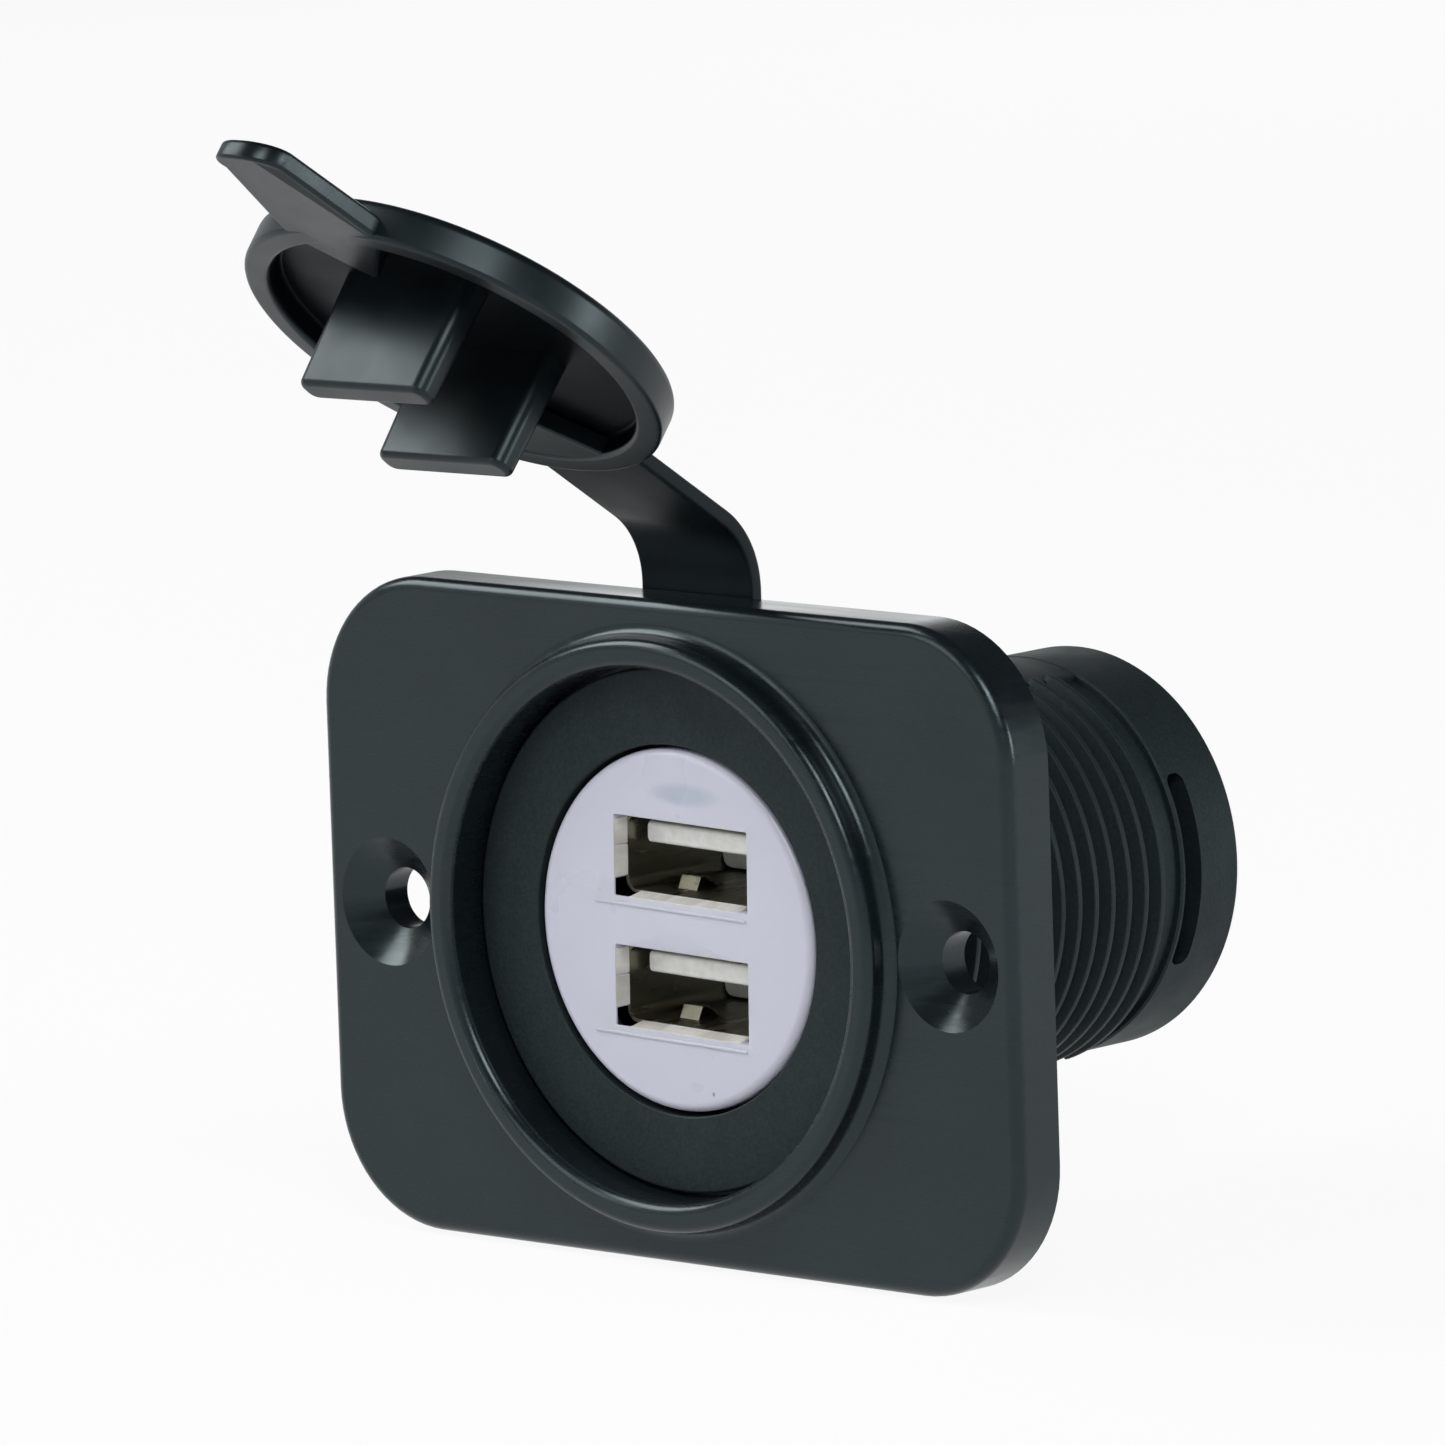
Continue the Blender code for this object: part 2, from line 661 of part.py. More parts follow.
def usb_shell(which, height, parts, cutters, look):
    outer = rounded_rectangle(SHELL_WIDTH, SHELL_HEIGHT, SHELL_CORNER_RADIUS, 3, (PORT_OFFSET, height))
    inner = rounded_rectangle(
        SHELL_OPENING_WIDTH, SHELL_OPENING_HEIGHT, SHELL_CORNER_RADIUS - SHELL_WALL, 3,
        (PORT_OFFSET, height),
    )
    middle = (SHELL_FRONT + SHELL_BACK) / 2
    shell = plate_of("usb_shell_" + which, [outer, inner], SHELL_LENGTH, facing_front(middle), parts)
    for side in (-1, 1):
        for end in (-1, 1):
            corner_x = PORT_OFFSET + side * SHELL_WIDTH / 2
            corner_z = height + end * SHELL_HEIGHT / 2
            notch = block(
                "corner_notch",
                (corner_x - SHELL_NOTCH_WIDTH, SHELL_FRONT - 1 * MM, corner_z - SHELL_NOTCH_WIDTH),
                (corner_x + SHELL_NOTCH_WIDTH, SHELL_FRONT + SHELL_NOTCH_DEPTH,
                 corner_z + SHELL_NOTCH_WIDTH), cutters,
            )
            combine(shell, notch, "DIFFERENCE", cutters)
        combine(shell, shell_spring(side, height, parts), "UNION", cutters)
    return finish(shell, look)


def shell_spring(side, height, parts):
    """A pressed-in spring that stands up from the floor of the shell."""
    floor = height - SHELL_OPENING_HEIGHT / 2
    top = SHELL_FRONT + SPRING_DEPTH
    outline = [
        (top - SPRING_LENGTH, floor - SHELL_WALL / 2), (top + SPRING_LENGTH, floor - SHELL_WALL / 2),
        (top + 0.3 * MM, floor + SPRING_HEIGHT), (top - 0.1 * MM, floor + SPRING_HEIGHT),
    ]
    middle = PORT_OFFSET + side * SPRING_SPACING / 2
    return plate_of("shell_spring", [outline], SPRING_WIDTH, facing_side(middle), parts)


def usb_tongue(which, height, parts, cutters, look):
    """The moulded insulator: a thin tongue in front and a block that fills the shell's rear."""
    low = height + TONGUE_DROP
    high = low + TONGUE_THICKNESS
    block_front = SHELL_BACK - INSULATOR_BLOCK_LENGTH
    tongue = block(
        "usb_tongue_" + which,
        (PORT_OFFSET - TONGUE_WIDTH / 2, TONGUE_FRONT, low),
        (PORT_OFFSET + TONGUE_WIDTH / 2, SHELL_BACK - 1 * MM, high), parts,
    )
    round_edges(
        tongue,
        lambda edge: all(abs(vertex.co.y - TONGUE_FRONT) < 1e-6 for vertex in edge.verts)
        and abs(edge.verts[0].co.x - edge.verts[1].co.x) > 1 * MM,
        0.35 * MM, 2,
    )
    half_width = SHELL_OPENING_WIDTH / 2 - SLIDE_GAP
    half_height = SHELL_OPENING_HEIGHT / 2 - SLIDE_GAP
    outline = rounded_rectangle(
        2 * half_width, 2 * half_height, SHELL_CORNER_RADIUS - SHELL_WALL, 3, (PORT_OFFSET, height),
    )
    rear = plate_of(
        "insulator_block", [outline], INSULATOR_BLOCK_LENGTH,
        facing_front(block_front + INSULATOR_BLOCK_LENGTH / 2), parts,
    )
    combine(tongue, rear, "UNION", cutters)
    for place in CONTACT_PITCHES:
        slot_low, slot_high = contact_heights(height)
        slot = block(
            "contact_slot",
            (PORT_OFFSET + place - CONTACT_WIDTH / 2 - SLIDE_GAP, block_front - 1 * MM,
             slot_low - SLIDE_GAP),
            (PORT_OFFSET + place + CONTACT_WIDTH / 2 + SLIDE_GAP, SHELL_BACK + 1 * MM,
             slot_high + CONTACT_TONGUE_GAP), cutters,
        )
        combine(tongue, slot, "DIFFERENCE", cutters)
    return finish(tongue, look, smooth=False)


def contact_heights(height):
    high = height + TONGUE_DROP - CONTACT_TONGUE_GAP
    return high - CONTACT_THICKNESS, high


def usb_contacts(which, height, parts, look):
    for number, place in enumerate(CONTACT_PITCHES, start=1):
        low, high = contact_heights(height)
        contact = block(
            "contact_" + which + "_" + str(number),
            (PORT_OFFSET + place - CONTACT_WIDTH / 2, TONGUE_FRONT + CONTACT_SET_BACK, low),
            (PORT_OFFSET + place + CONTACT_WIDTH / 2, SHELL_BACK, high), parts,
        )
        finish(contact, look, smooth=False)


# Circuit inside the barrel

def port_board(parts, look):
    middle = (PORT_BOARD_FRONT + PORT_BOARD_BACK) / 2
    board = plate_of("port_board", [circle(PORT_BOARD_RADIUS, steps=48)], BOARD_THICKNESS,
                     facing_front(middle), parts)
    return finish(board, look)


def converter_board(parts, look):
    half = CONVERTER_BOARD_WIDTH / 2
    outline = [
        (-half, CONVERTER_FRONT), (half, CONVERTER_FRONT), (half, CONVERTER_BACK), (-half, CONVERTER_BACK),
    ]
    board = plate_of("converter_board", [outline], BOARD_THICKNESS, facing_up(0.0), parts)
    return finish(board, look, smooth=False)


def board_top():
    return BOARD_THICKNESS / 2 + SEAT_GAP


def inductor(parts, core_look, wire_look):
    """A drum core with a copper winding round its post."""
    place = Vector((0.0, CONVERTER_BACK - INPUT_PARTS_FROM_EDGE, board_top()))
    core = [
        (0.0, INDUCTOR_HEIGHT), (INDUCTOR_RADIUS, INDUCTOR_HEIGHT),
        (INDUCTOR_RADIUS, INDUCTOR_HEIGHT - INDUCTOR_FLANGE),
        (INDUCTOR_POST_RADIUS, INDUCTOR_HEIGHT - INDUCTOR_FLANGE),
        (INDUCTOR_POST_RADIUS, INDUCTOR_FLANGE), (INDUCTOR_RADIUS, INDUCTOR_FLANGE),
        (INDUCTOR_RADIUS, 0.0), (0.0, 0.0),
    ]
    finish(turned("inductor_core", core, upright(place), parts, COIL_STEPS, closed=False), core_look)
    low = INDUCTOR_FLANGE + SLIDE_GAP
    high = INDUCTOR_HEIGHT - INDUCTOR_FLANGE - SLIDE_GAP
    inner = INDUCTOR_POST_RADIUS + SLIDE_GAP
    winding = [(WINDING_RADIUS, high), (WINDING_RADIUS, low), (inner, low), (inner, high)]
    finish(turned("inductor_winding", winding, upright(place), parts, COIL_STEPS), wire_look)


def capacitor(name, side, parts, look):
    place = Vector((
        side * CAPACITOR_SPACING / 2, CONVERTER_BACK - OUTPUT_PARTS_FROM_EDGE, board_top(),
    ))
    bead = 0.35 * MM
    profile = [
        (0.0, CAPACITOR_HEIGHT), (CAPACITOR_RADIUS - bead, CAPACITOR_HEIGHT),
        (CAPACITOR_RADIUS, CAPACITOR_HEIGHT - bead), (CAPACITOR_RADIUS, 4 * bead),
        (CAPACITOR_RADIUS - bead, 3 * bead), (CAPACITOR_RADIUS, 2 * bead), (CAPACITOR_RADIUS, 0.0),
        (0.0, 0.0),
    ]
    finish(turned(name, profile, upright(place), parts, SMALL_STEPS, closed=False), look)


def underside_part(name, size, place_y, parts, look):
    top = -board_top()
    low = (-size[0] / 2, place_y - size[1] / 2, top - size[2])
    high = (size[0] / 2, place_y + size[1] / 2, top)
    body = block(name, low, high, parts)
    round_edges(body, lambda edge: True, 0.15 * MM, 1)
    return finish(body, look, smooth=False)


def indicator_led(parts, cutters, look):
    """A small lamp on two legs, so that it glows behind the white bezel."""
    base = PORT_BOARD_FRONT - SEAT_GAP - LED_STAND
    tip = base - LED_BODY_LENGTH
    profile = [(0.0, base), (LED_RADIUS + 0.3 * MM, base), (LED_RADIUS + 0.3 * MM, base - 0.8 * MM),
               (LED_RADIUS, base - 0.8 * MM)]
    profile += [
        (radius, height)
        for radius, height in arc((0.0, tip + LED_RADIUS), LED_RADIUS, 0, -90, 4)
    ]
    place = along_barrel(Vector((PORT_OFFSET, 0, LED_HEIGHT)))
    lamp = turned("indicator_led", profile, place, parts, SMALL_STEPS, closed=False)
    for side in (-1, 1):
        middle = PORT_OFFSET + side * LED_RADIUS * 0.6
        leg = block(
            "led_leg",
            (middle - LED_LEG / 2, base - 0.4 * MM, LED_HEIGHT - LED_LEG / 2),
            (middle + LED_LEG / 2, PORT_BOARD_FRONT - SEAT_GAP, LED_HEIGHT + LED_LEG / 2), parts,
        )
        combine(lamp, leg, "UNION", cutters)
    return finish(lamp, look)


# Rear cover and terminals

def rear_cap(parts, cutters, look):
    """The disc that closes the barrel, held by two hooked arms in the barrel's windows."""
    profile = [
        (0.0, COVER_BACK), (COVER_RADIUS - COVER_EDGE_CHAMFER, COVER_BACK),
        (COVER_RADIUS, COVER_BACK - COVER_EDGE_CHAMFER), (COVER_RADIUS, COVER_FRONT),
        (0.0, COVER_FRONT),
    ]
    cover = turned("rear_cap", profile, along_barrel(), parts, closed=False)
    combine(cover, hooks(parts, cutters), "UNION", cutters)
    for side in (-1, 1):
        slot = block(
            "blade_slot",
            (side * BLADE_SPACING / 2 - BLADE_THICKNESS / 2 - SLIDE_GAP, COVER_FRONT - 1 * MM,
             -BLADE_WIDTH / 2 - SLIDE_GAP),
            (side * BLADE_SPACING / 2 + BLADE_THICKNESS / 2 + SLIDE_GAP, COVER_BACK + 1 * MM,
             BLADE_WIDTH / 2 + SLIDE_GAP), cutters,
        )
        combine(cover, slot, "DIFFERENCE", cutters)
    return finish(cover, look)


def hooks(parts, cutters):
    """Two curved arms whose lips reach into the windows of the barrel."""
    front = WINDOW_START + SLIDE_GAP
    root = COVER_FRONT + 0.5 * MM
    outer = COVER_RADIUS - 0.05 * MM
    inner = outer - HOOK_ARM_THICKNESS
    lip = COVER_RADIUS + HOOK_REACH
    profile = [
        (outer, root), (outer, front + HOOK_LIP), (lip, front + HOOK_LIP),
        (lip - HOOK_LIP * 0.6, front), (inner, front), (inner, root),
    ]
    arms = turned("hooks", profile, along_barrel(), parts)
    reach = COLLAR_RADIUS + 1 * MM
    half = HOOK_LENGTH / 2
    keep = block("hook_keep", (-reach, 0.0, -half), (reach, BARREL_LENGTH, half), cutters)
    return combine(arms, keep, "INTERSECT", cutters)


def terminal(name, side, parts, look):
    """A flat blade whose narrow tail rests on the converter board."""
    tip = BARREL_LENGTH + BLADE_REACH
    shoulder = COVER_FRONT - BLADE_SHOULDER + 1.0 * MM
    shoulder = max(shoulder, CONVERTER_BACK + SEAT_GAP)
    tail_end = CONVERTER_BACK - BLADE_TAIL_LENGTH
    tail_low = board_top()
    tail_high = tail_low + BLADE_TAIL_WIDTH
    half = BLADE_WIDTH / 2
    outline = [
        (tail_end, tail_low), (shoulder, tail_low), (shoulder, -half),
        (tip - BLADE_TIP_CHAMFER, -half), (tip, -half + BLADE_TIP_CHAMFER),
        (tip, half - BLADE_TIP_CHAMFER), (tip - BLADE_TIP_CHAMFER, half), (shoulder, half),
        (shoulder, tail_high), (tail_end, tail_high),
    ]
    hole = circle(BLADE_HOLE_RADIUS, (tip - BLADE_HOLE_FROM_TIP, 0.0), 16)
    blade = plate_of(name, [outline, hole], BLADE_THICKNESS, facing_side(side * BLADE_SPACING / 2), parts)
    return finish(blade, look, smooth=False)


# Rubber ring, strap and cap

def strap_root_height():
    return PLATE_HEIGHT / 2 - STRAP_ROOT_LENGTH


def strap_ring(parts, look):
    """The flat ring round the barrel behind the plate, with the neck that the strap grows from."""
    half = STRAP_WIDTH / 2
    join = math.degrees(math.asin(half / STRAP_RING_OUTER_RADIUS))
    outline = arc((0.0, 0.0), STRAP_RING_OUTER_RADIUS, 90 + join, 450 - join, 44)
    outline += [(half, strap_root_height()), (-half, strap_root_height())]
    ring = plate_of(
        "strap_ring", [outline, circle(STRAP_RING_INNER_RADIUS, steps=44)], STRAP_THICKNESS,
        facing_front(STRAP_MIDDLE), parts,
    )
    return finish(ring, look)


def strap_route():
    """The strap's middle line seen from the side: up, round one bend, then along the cap."""
    start = Vector((STRAP_MIDDLE, strap_root_height() + SEAT_GAP))
    cap_edge = CAP_OPEN_CENTRE - CAP_ALONG * (CAP_RADIUS + SEAT_GAP) + CAP_PRESS * CAP_FLOOR
    end = Vector((cap_edge.y, cap_edge.z))
    direction = Vector((-math.cos(STRAP_END_TILT), math.sin(STRAP_END_TILT)))
    back = (end.x - start.x) / direction.x
    corner = end - direction * back
    turn = math.pi / 2 - STRAP_END_TILT
    tangent = STRAP_BEND_RADIUS * math.tan(turn / 2)
    bend_centre = (start.x - STRAP_BEND_RADIUS, corner.y - tangent)
    route = [tuple(start)]
    route += arc(bend_centre, STRAP_BEND_RADIUS, 0, math.degrees(turn), 8)
    route.append(tuple(end))
    return route


def cap_strap(parts, look):
    route = strap_route()
    half = STRAP_THICKNESS / 2
    left = []
    right = []
    for index, point in enumerate(route):
        before = Vector(route[max(index - 1, 0)])
        after = Vector(route[min(index + 1, len(route) - 1)])
        along = (after - before).normalized()
        across = Vector((along.y, -along.x)) * half
        left.append(tuple(Vector(point) - across))
        right.append(tuple(Vector(point) + across))
    strap = plate_of("cap_strap", [left + right[::-1]], STRAP_WIDTH, facing_side(0.0), parts)
    return finish(strap, look)


def cap_frame(depth):
    """Outline u is world X and v runs along the cap, at a depth behind its outer face."""
    return frame_from(Vector((1, 0, 0)), CAP_ALONG, CAP_OPEN_CENTRE + CAP_PRESS * depth)


def flip_cap(parts, cutters, look):
    """A shallow rimmed disc with two solid plugs and a pull tab."""
    inner = CAP_RADIUS - CAP_RIM
    profile = [(0.0, CAP_FLOOR), (inner, CAP_FLOOR), (inner, CAP_HEIGHT - CAP_RIM_ROUND)]
    profile += [(inner + CAP_RIM_ROUND, CAP_HEIGHT), (CAP_RADIUS - CAP_RIM_ROUND, CAP_HEIGHT)]
    profile += [(CAP_RADIUS, CAP_HEIGHT - CAP_RIM_ROUND)]
    profile += arc((CAP_RADIUS - CAP_OUTER_ROUND, CAP_OUTER_ROUND), CAP_OUTER_ROUND, 0, -90)
    profile += [(0.0, 0.0)]
    cap = turned("flip_cap", profile, cap_frame(0.0), parts, closed=False)
    combine(cap, pull_tab(parts), "UNION", cutters)
    combine(cap, strap_wedge(parts), "UNION", cutters)
    for height in PORT_HEIGHTS.values():
        combine(cap, cap_plug(height, parts), "UNION", cutters)
    return finish(cap, look)


def pull_tab(parts):
    """The tab runs over the rim and narrows to a point inside the hollow."""
    half = TAB_WIDTH / 2
    tip_half = TAB_TIP_WIDTH / 2
    end = CAP_RADIUS + TAB_REACH
    inner = CAP_RADIUS - CAP_RIM
    tip_centre = (tip_half - TAB_CORNER_RADIUS, end - TAB_CORNER_RADIUS)
    outline = [(0.0, inner - ROOT_WEDGE_REACH), (half, inner + 0.5 * MM), (half, CAP_RADIUS)]
    outline += arc(tip_centre, TAB_CORNER_RADIUS, 0, 90, 4)
    outline += arc((-tip_centre[0], tip_centre[1]), TAB_CORNER_RADIUS, 90, 180, 4)
    outline += [(-half, CAP_RADIUS), (-half, inner + 0.5 * MM)]
    depth = CAP_HEIGHT - TAB_THICKNESS / 2 - 0.1 * MM
    return plate_of("pull_tab", [outline], TAB_THICKNESS, cap_frame(depth), parts)


def strap_wedge(parts):
    """The matching root on the strap's side, inside the hollow."""
    half = STRAP_WIDTH / 2
    inner = CAP_RADIUS - CAP_RIM
    outline = [(-half, -inner - 0.5 * MM), (half, -inner - 0.5 * MM), (0.0, -inner + ROOT_WEDGE_REACH)]
    depth = CAP_HEIGHT - TAB_THICKNESS / 2
    return plate_of("strap_wedge", [outline], TAB_THICKNESS, cap_frame(depth - 0.15 * MM), parts)


def cap_plug(height, parts):
    """One solid plug, a little thinner and narrower at its tip.

    Closed, the cap hangs upside down, so a place along it is counted down from its centre.
    """
    floor = height - SHELL_OPENING_HEIGHT / 2
    middle = CAP_CLOSED_RISE - (floor + PLUG_FLOOR_CLEARANCE + PLUG_THICKNESS / 2)
    start = CAP_FLOOR - 0.3 * MM
    body = bmesh.new()
    bmesh.ops.create_cube(body, size=1.0)
    for vertex in body.verts:
        at_tip = vertex.co.z > 0
        spread = 0.0 if at_tip else PLUG_TAPER
        width = PLUG_WIDTH / 2 + spread
        thickness = PLUG_THICKNESS / 2 + spread / 2
        vertex.co = Vector((
            math.copysign(width, vertex.co.x), math.copysign(thickness, vertex.co.y),
            CAP_FLOOR + PLUG_LENGTH if at_tip else start,
        ))
    tip = CAP_FLOOR + PLUG_LENGTH
    sides = [edge for edge in body.edges if abs(edge.verts[0].co.z - edge.verts[1].co.z) > 1 * MM]
    bmesh.ops.bevel(body, geom=sides, offset=PLUG_CORNER_RADIUS, segments=3, profile=0.5, affect="EDGES")
    rim = [
        edge for edge in body.edges
        if all(abs(vertex.co.z - tip) < 1e-6 for vertex in edge.verts)
    ]
    bmesh.ops.bevel(body, geom=rim, offset=PLUG_END_ROUND, segments=2, profile=0.5, affect="EDGES")
    bmesh.ops.recalc_face_normals(body, faces=body.faces)
    mesh = bpy.data.meshes.new("cap_plug")
    body.to_mesh(mesh)
    body.free()
    plug = link("cap_plug", mesh, parts)
    place = Matrix((Vector((1, 0, 0)), CAP_ALONG, CAP_PRESS)).transposed().to_4x4()
    place.translation = CAP_OPEN_CENTRE + Vector((PORT_OFFSET, 0, 0)) + CAP_ALONG * middle
    mesh.transform(place)
    if place.determinant() < 0:
        mesh.flip_normals()
    return plug


def carry_on_axis(bodies, parts):
    """Puts the moving pieces on an empty that stands on the strap's bending axis."""
    centre = strap_bend_centre()
    axis = bpy.data.objects.new("strap_bend_axis", None)
    parts.objects.link(axis)
    axis.location = centre
    for body in bodies:
        body.data.transform(Matrix.Translation(-centre))
        body.parent = axis


def build():
    clear_scene()
    parts = new_collection("dual_usb_socket")
    cutters = new_collection("cutters")
    plate_black = material("plate_black", (0.030, 0.034, 0.038), 0.32)
    body_black = material("body_black", (0.028, 0.031, 0.034), 0.62)
    bezel_white = material("bezel_white", (0.62, 0.62, 0.72), 0.35)
    nickel = material("nickel", (0.78, 0.76, 0.72), 0.22, 1.0)
    tongue_white = material("tongue_white", (0.85, 0.85, 0.83), 0.4)
    contact_gold = material("contact_gold", (0.83, 0.62, 0.28), 0.25, 1.0)
    board_green = material("board_green", (0.03, 0.16, 0.07), 0.45)
    ferrite = material("ferrite", (0.05, 0.05, 0.055), 0.7)
    copper = material("copper", (0.72, 0.33, 0.16), 0.35, 1.0)
    can_silver = material("can_silver", (0.6, 0.6, 0.62), 0.3, 1.0)
    chip_black = material("chip_black", (0.03, 0.03, 0.03), 0.5)
    led_blue = material("led_blue", (0.25, 0.45, 0.9), 0.15)
    brass = material("brass", (0.80, 0.66, 0.36), 0.3, 1.0)
    rubber = material("rubber", (0.022, 0.025, 0.028), 0.5)

    mounting_plate(parts, cutters, plate_black)
    socket_body(parts, cutters, body_black)
    port_bezel(parts, cutters, bezel_white)
    for which, height in PORT_HEIGHTS.items():
        usb_shell(which, height, parts, cutters, nickel)
        usb_tongue(which, height, parts, cutters, tongue_white)
        usb_contacts(which, height, parts, contact_gold)
    port_board(parts, board_green)
    converter_board(parts, board_green)
    inductor(parts, ferrite, copper)
    capacitor("input_capacitor", -1, parts, can_silver)
    capacitor("output_capacitor", 1, parts, can_silver)
    underside_part(
        "controller_chip", CHIP_SIZE, CONVERTER_BACK - OUTPUT_PARTS_FROM_EDGE, parts, chip_black,
    )
    underside_part("diode", DIODE_SIZE, CONVERTER_BACK - INPUT_PARTS_FROM_EDGE, parts, chip_black)
    indicator_led(parts, cutters, led_blue)
    rear_cap(parts, cutters, body_black)
    terminal("terminal_positive", 1, parts, brass)
    terminal("terminal_negative", -1, parts, brass)
    strap_ring(parts, rubber)
    strap = cap_strap(parts, rubber)
    cap = flip_cap(parts, cutters, rubber)
    carry_on_axis([strap, cap], parts)


build()
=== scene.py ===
"""Dual USB panel socket: the looks of each piece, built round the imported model.

Metres, +Z up. The front faces -Y and the threaded barrel runs along +Y. The origin is
where the socket's axis meets the back face of the mounting plate.
"""

import math

import bmesh
import bpy
from bpy.props import FloatProperty, FloatVectorProperty, IntProperty, PointerProperty
from bpy.types import Operator, Panel, PropertyGroup
from mathutils import Matrix, Vector


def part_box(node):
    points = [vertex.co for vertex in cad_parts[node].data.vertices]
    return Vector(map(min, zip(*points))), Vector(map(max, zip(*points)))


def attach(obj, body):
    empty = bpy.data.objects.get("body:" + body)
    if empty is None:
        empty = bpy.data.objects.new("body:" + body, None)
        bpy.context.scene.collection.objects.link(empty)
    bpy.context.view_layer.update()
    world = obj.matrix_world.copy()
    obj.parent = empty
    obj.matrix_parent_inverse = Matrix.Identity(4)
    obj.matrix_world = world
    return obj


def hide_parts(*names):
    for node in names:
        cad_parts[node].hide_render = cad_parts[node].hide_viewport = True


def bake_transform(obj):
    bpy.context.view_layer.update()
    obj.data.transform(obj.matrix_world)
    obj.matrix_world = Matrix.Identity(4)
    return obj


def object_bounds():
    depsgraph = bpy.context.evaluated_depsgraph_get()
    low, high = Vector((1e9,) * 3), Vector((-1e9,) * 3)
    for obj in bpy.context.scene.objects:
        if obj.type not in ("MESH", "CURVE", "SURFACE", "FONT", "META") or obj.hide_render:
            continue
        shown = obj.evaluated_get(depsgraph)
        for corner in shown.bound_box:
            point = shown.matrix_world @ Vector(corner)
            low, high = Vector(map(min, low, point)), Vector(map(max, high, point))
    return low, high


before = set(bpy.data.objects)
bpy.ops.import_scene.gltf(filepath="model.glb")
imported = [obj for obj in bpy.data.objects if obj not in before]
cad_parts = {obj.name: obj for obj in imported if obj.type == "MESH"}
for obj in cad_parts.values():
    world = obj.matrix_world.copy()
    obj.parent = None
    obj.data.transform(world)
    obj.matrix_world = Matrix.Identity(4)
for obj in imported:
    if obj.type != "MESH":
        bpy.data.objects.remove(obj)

bl_info = {
    "name": "Dual USB Panel Socket",
    "version": (1, 0, 0),
    "blender": (4, 5, 0),
    "location": "View3D > Sidebar > Socket",
    "description": "Builds the plate, barrel, ports, flip cap and stage of a dual USB panel socket",
    "category": "Add Mesh",
}

MM = 0.001
CAD_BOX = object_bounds()
PLATE_LOW, PLATE_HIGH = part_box("mounting_plate")
BODY_LOW, BODY_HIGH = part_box("socket_body")
INSERT_LOW, INSERT_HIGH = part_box("port_bezel")

# Steps of a full turn, the distance at which points merge, and the angle of a sharp edge
FINE_STEPS = 168
WELD = 0.002 * MM
CREASE = math.radians(32)
# Points closer than this count as level, and a cutting tool reaches this far past what it cuts
LEVEL = 1e-6
CLEAR = 1 * MM


def length(name, description, default):
    """A size in metres, given here in millimetres."""
    return FloatProperty(
        name=name, description=description, default=default * MM, unit="LENGTH", precision=5,
    )


def turning(name, description, degrees):
    """An angle in radians, given here in degrees."""
    return FloatProperty(
        name=name, description=description, default=math.radians(degrees), subtype="ANGLE",
    )


def colour(name, description, default):
    """A colour in linear light."""
    return FloatVectorProperty(
        name=name, description=description, default=default, subtype="COLOR", size=3, min=0, max=1,
    )


# Sizes and colours that a user may change

class PlateSizes(PropertyGroup):
    corner_radius: length("Corner radius", "Rounding of the plate's outline", 9.6)
    edge_round: length("Edge round", "Rounding of the front rim", 0.9)
    thickness: length("Thickness", "Plate thickness without the ring", 4.2)
    web: length("Web", "Thickness of the web behind the socket's flange", 1.5)
    web_hole: length("Web hole", "Radius of the hole round the barrel's neck", 15.2)
    bore: length("Ring bore", "Inner radius of the raised ring", 18.9)
    wall: length("Ring wall", "Thickness of the raised ring", 2.1)
    foot: length("Ring foot", "Concave rounding at the ring's foot", 0.85)
    outer_round: length("Outer round", "Rounding of the ring's outer edge", 0.75)
    inner_round: length("Inner round", "Rounding of the ring's inner edge", 0.8)
    screw_spacing: length("Screw spacing", "Distance between the screw holes", 53.0)
    screw_hole: length("Screw hole", "Radius of the screw holes", 2.2)
    screw_head: length("Screw head", "Radius of the countersink", 4.6)
    screw_depth: length("Countersink depth", "Depth of the countersink", 1.9)


class BarrelSizes(PropertyGroup):
    flange_gap: length("Flange gap", "Gap between flange and ring bore", 0.3)
    neck: length("Neck", "Radius of the plain neck", 14.9)
    neck_end: length("Neck end", "Where the neck ends behind the plate", 1.0)
    crest: length("Crest", "Radius of the thread's crest", 14.85)
    root: length("Root", "Radius of the thread's root", 13.95)
    pitch: length("Pitch", "Distance from ridge to ridge", 1.8)
    crest_width: length("Crest width", "Flat on top of each ridge", 0.45)
    first_ridge: length("First ridge", "Middle of the first ridge behind the plate", 1.53)
    strip_width: length("Strip width", "Width of the plain strips at top and bottom", 10.0)
    strip: length("Strip", "Radius of the plain strips", 14.45)
    collar: length("Collar", "Radius of the rear collar", 14.5)
    collar_start: length("Collar start", "Where the rear collar begins", 34.6)
    collar_round: length("Collar round", "Rounding at the barrel's end", 0.4)
    bore: length("Bore", "Inner radius of the barrel", 12.2)
    window_start: length("Window start", "Front edge of the hook windows", 34.95)
    window_width: length("Window width", "Width of the hook windows", 1.75)
    window_length: length("Window length", "Length of the hook windows", 13.8)
    turns: IntProperty(name="Turns", description="Half turns of the thread", default=36, min=2, max=80)


